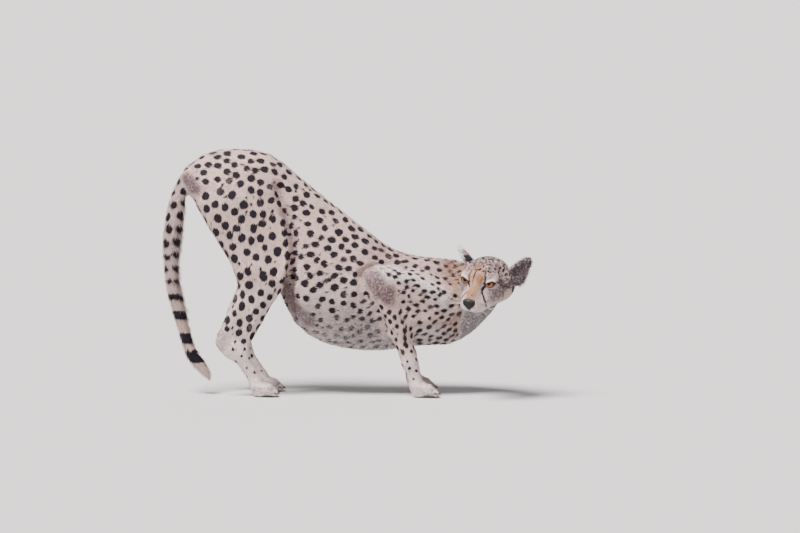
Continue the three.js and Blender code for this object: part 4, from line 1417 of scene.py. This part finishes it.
def add_coat(name, regions, material):
    """Tufts with their roots spread over the regions by chance, as one piece."""
    chosen = np.isin(main_region, [NAMES.index(region) for region in regions])
    count = chance.poisson(density[corners].mean(1) * face_area * 1e4 * chosen)
    face = np.repeat(np.arange(len(corners)), count)
    first, second = chance.random((2, len(face)))
    over = first + second > 1
    first[over], second[over] = 1 - first[over], 1 - second[over]
    part = np.stack([1 - first - second, first, second], 1)[:, :, None]

    def at_root(values):
        return (values[corners[face]] * part).sum(1)

    root = at_root(skin_co)
    out = unit(at_root(skin_normal))
    run = unit(at_root(lie) - out * (at_root(lie) * out).sum(1, keepdims=True))
    side = np.cross(out, run)
    values = dict(zip(look, at_root(look_values).T))
    total = len(face)
    turn = (values["turn"] + chance.normal(0, 0.16, total))[:, None]
    run, side = run * np.cos(turn) + side * np.sin(turn), side * np.cos(turn) - run * np.sin(turn)
    length = (values["length"] * chance.uniform(0.7, 1.25, total) * MM)[:, None]
    width = (values["width"] * chance.uniform(0.75, 1.25, total) * MM)[:, None]
    lift = np.radians(values["lift"] * chance.uniform(0.6, 1.6, total))[:, None]
    places = np.empty((total, CORNERS, 3))
    for level, (reach, thickness) in enumerate(((0, 1), (0.5, 0.8))):
        rise = reach * np.sin(lift) * length * (1.35 - 0.35 * reach) - 0.5 * MM * (reach == 0)
        base = root + run * (reach * np.cos(lift) * length) + out * rise
        for corner, (aside, up) in enumerate(RING):
            places[:, level * 3 + corner] = base + (side * aside + out * up) * width * thickness
    places[:, -1] = root + run * np.cos(lift) * length + out * np.sin(lift) * length * 0.95
    places[:, :, 2] = np.maximum(places[:, :, 2], ABOVE_FLOOR)
    faces = (TUFT_FACES[None] + (np.arange(total) * CORNERS)[:, None, None]).reshape(-1, 3)
    mesh = mesh_of_triangles(name, places.reshape(-1, 3), faces)

    middle_place = (corner_places[face] * part).sum(1)
    tuft_places = np.clip(middle_place[:, None] + TUFT_PLACES[None], 0, 1).reshape(-1, 2)
    layer = mesh.uv_layers.new(name="OFBake")
    layer.data.foreach_set("uv", tuft_places[faces.ravel()].astype(np.float32).ravel())

    # each tuft carries the edges of the black and brown markings a little way along its length
    fray = chance.normal(0, 0.6, total)[:, None]
    carried = chance.uniform(0.8, 1.05, total)[:, None]
    moved = (places - root[:, None]) * carried[:, None]
    for key in marks:
        value = np.repeat(values[key][:, None], CORNERS, 1)
        if key in slopes:
            value = value + fray + np.einsum("tki,ti->tk", moved, at_root(slopes[key]))
        add_values(mesh, key, value)
    add_values(mesh, "shade", np.repeat(chance.uniform(0, 1, total), CORNERS))
    add_values(mesh, "root_shade_fade", np.tile(ROOT_SHADE_FADE, total))

    # shaded as part of the body's own roundness, a little turned at each side
    aside = np.tile([-1, 1, 0, -1, 1, 0, 0], total)[:, None]
    bent = unit(np.repeat(out, CORNERS, 0) + 0.35 * np.repeat(side, CORNERS, 0) * aside)
    mesh.shade_smooth()
    mesh.normals_split_custom_set_from_vertices(bent.astype(np.float32))
    add_piece(name, mesh, [], material)


tuft_material = coat_material("coat", True)
for name, regions in COATS.items():
    add_coat(name, regions, tuft_material)


# ------------------------------------------------------------------ camera, floor and light

def add_camera():
    """A long lens far off, a little above the animal's back."""
    data = bpy.data.cameras.new("camera")
    camera = bpy.data.objects.new("camera", data)
    bpy.context.scene.collection.objects.link(camera)
    distance = 25
    width_seen = 2.44  # at the animal
    rise = math.radians(5.5)
    aim = Vector((0.1653, (cad_high.y + cad_low.y) / 2 + 0.071, 0.3906))
    back = Vector((0, -math.cos(rise), math.sin(rise)))
    camera.location = aim + back * distance
    camera.rotation_euler = (-back).to_track_quat("-Z", "Y").to_euler()
    data.lens = data.sensor_width * distance / width_seen
    data.clip_end = 200
    bpy.context.scene.camera = camera


def add_floor():
    bm = bmesh.new()
    bmesh.ops.create_grid(bm, x_segments=2, y_segments=2, size=40)
    mesh = bpy.data.meshes.new("floor")
    bm.to_mesh(mesh)
    bm.free()
    floor = bpy.data.objects.new("floor", mesh)
    bpy.context.scene.collection.objects.link(floor)
    material = bpy.data.materials.new("pale_floor")
    material.use_nodes = True
    shader = material.node_tree.nodes["Principled BSDF"]
    shader.inputs["Base Color"].default_value = (0.62, 0.61, 0.60, 1)
    shader.inputs["Roughness"].default_value = 0.9
    mesh.materials.append(material)


def add_light(name, comes_from, strength, softness, colour=(1, 1, 1)):
    data = bpy.data.lights.new(name, "SUN")
    data.angle = math.radians(softness)
    data.energy = strength
    data.color = colour
    light = bpy.data.objects.new(name, data)
    bpy.context.scene.collection.objects.link(light)
    light.rotation_euler = (-Vector(comes_from)).to_track_quat("-Z", "Y").to_euler()


def add_lights():
    world = bpy.data.worlds.new("studio")
    bpy.context.scene.world = world
    world.use_nodes = True
    background = world.node_tree.nodes["Background"]
    background.inputs["Color"].default_value = (0.94, 0.93, 1, 1)
    background.inputs["Strength"].default_value = 0.24
    add_light("key", (-0.6, -0.6, 1.5), 9.4, 25, (1, 0.955, 0.95))
    add_light("back", (0.5, 1.4, 0.9), 0.5, 60)


add_camera()
add_floor()
add_lights()
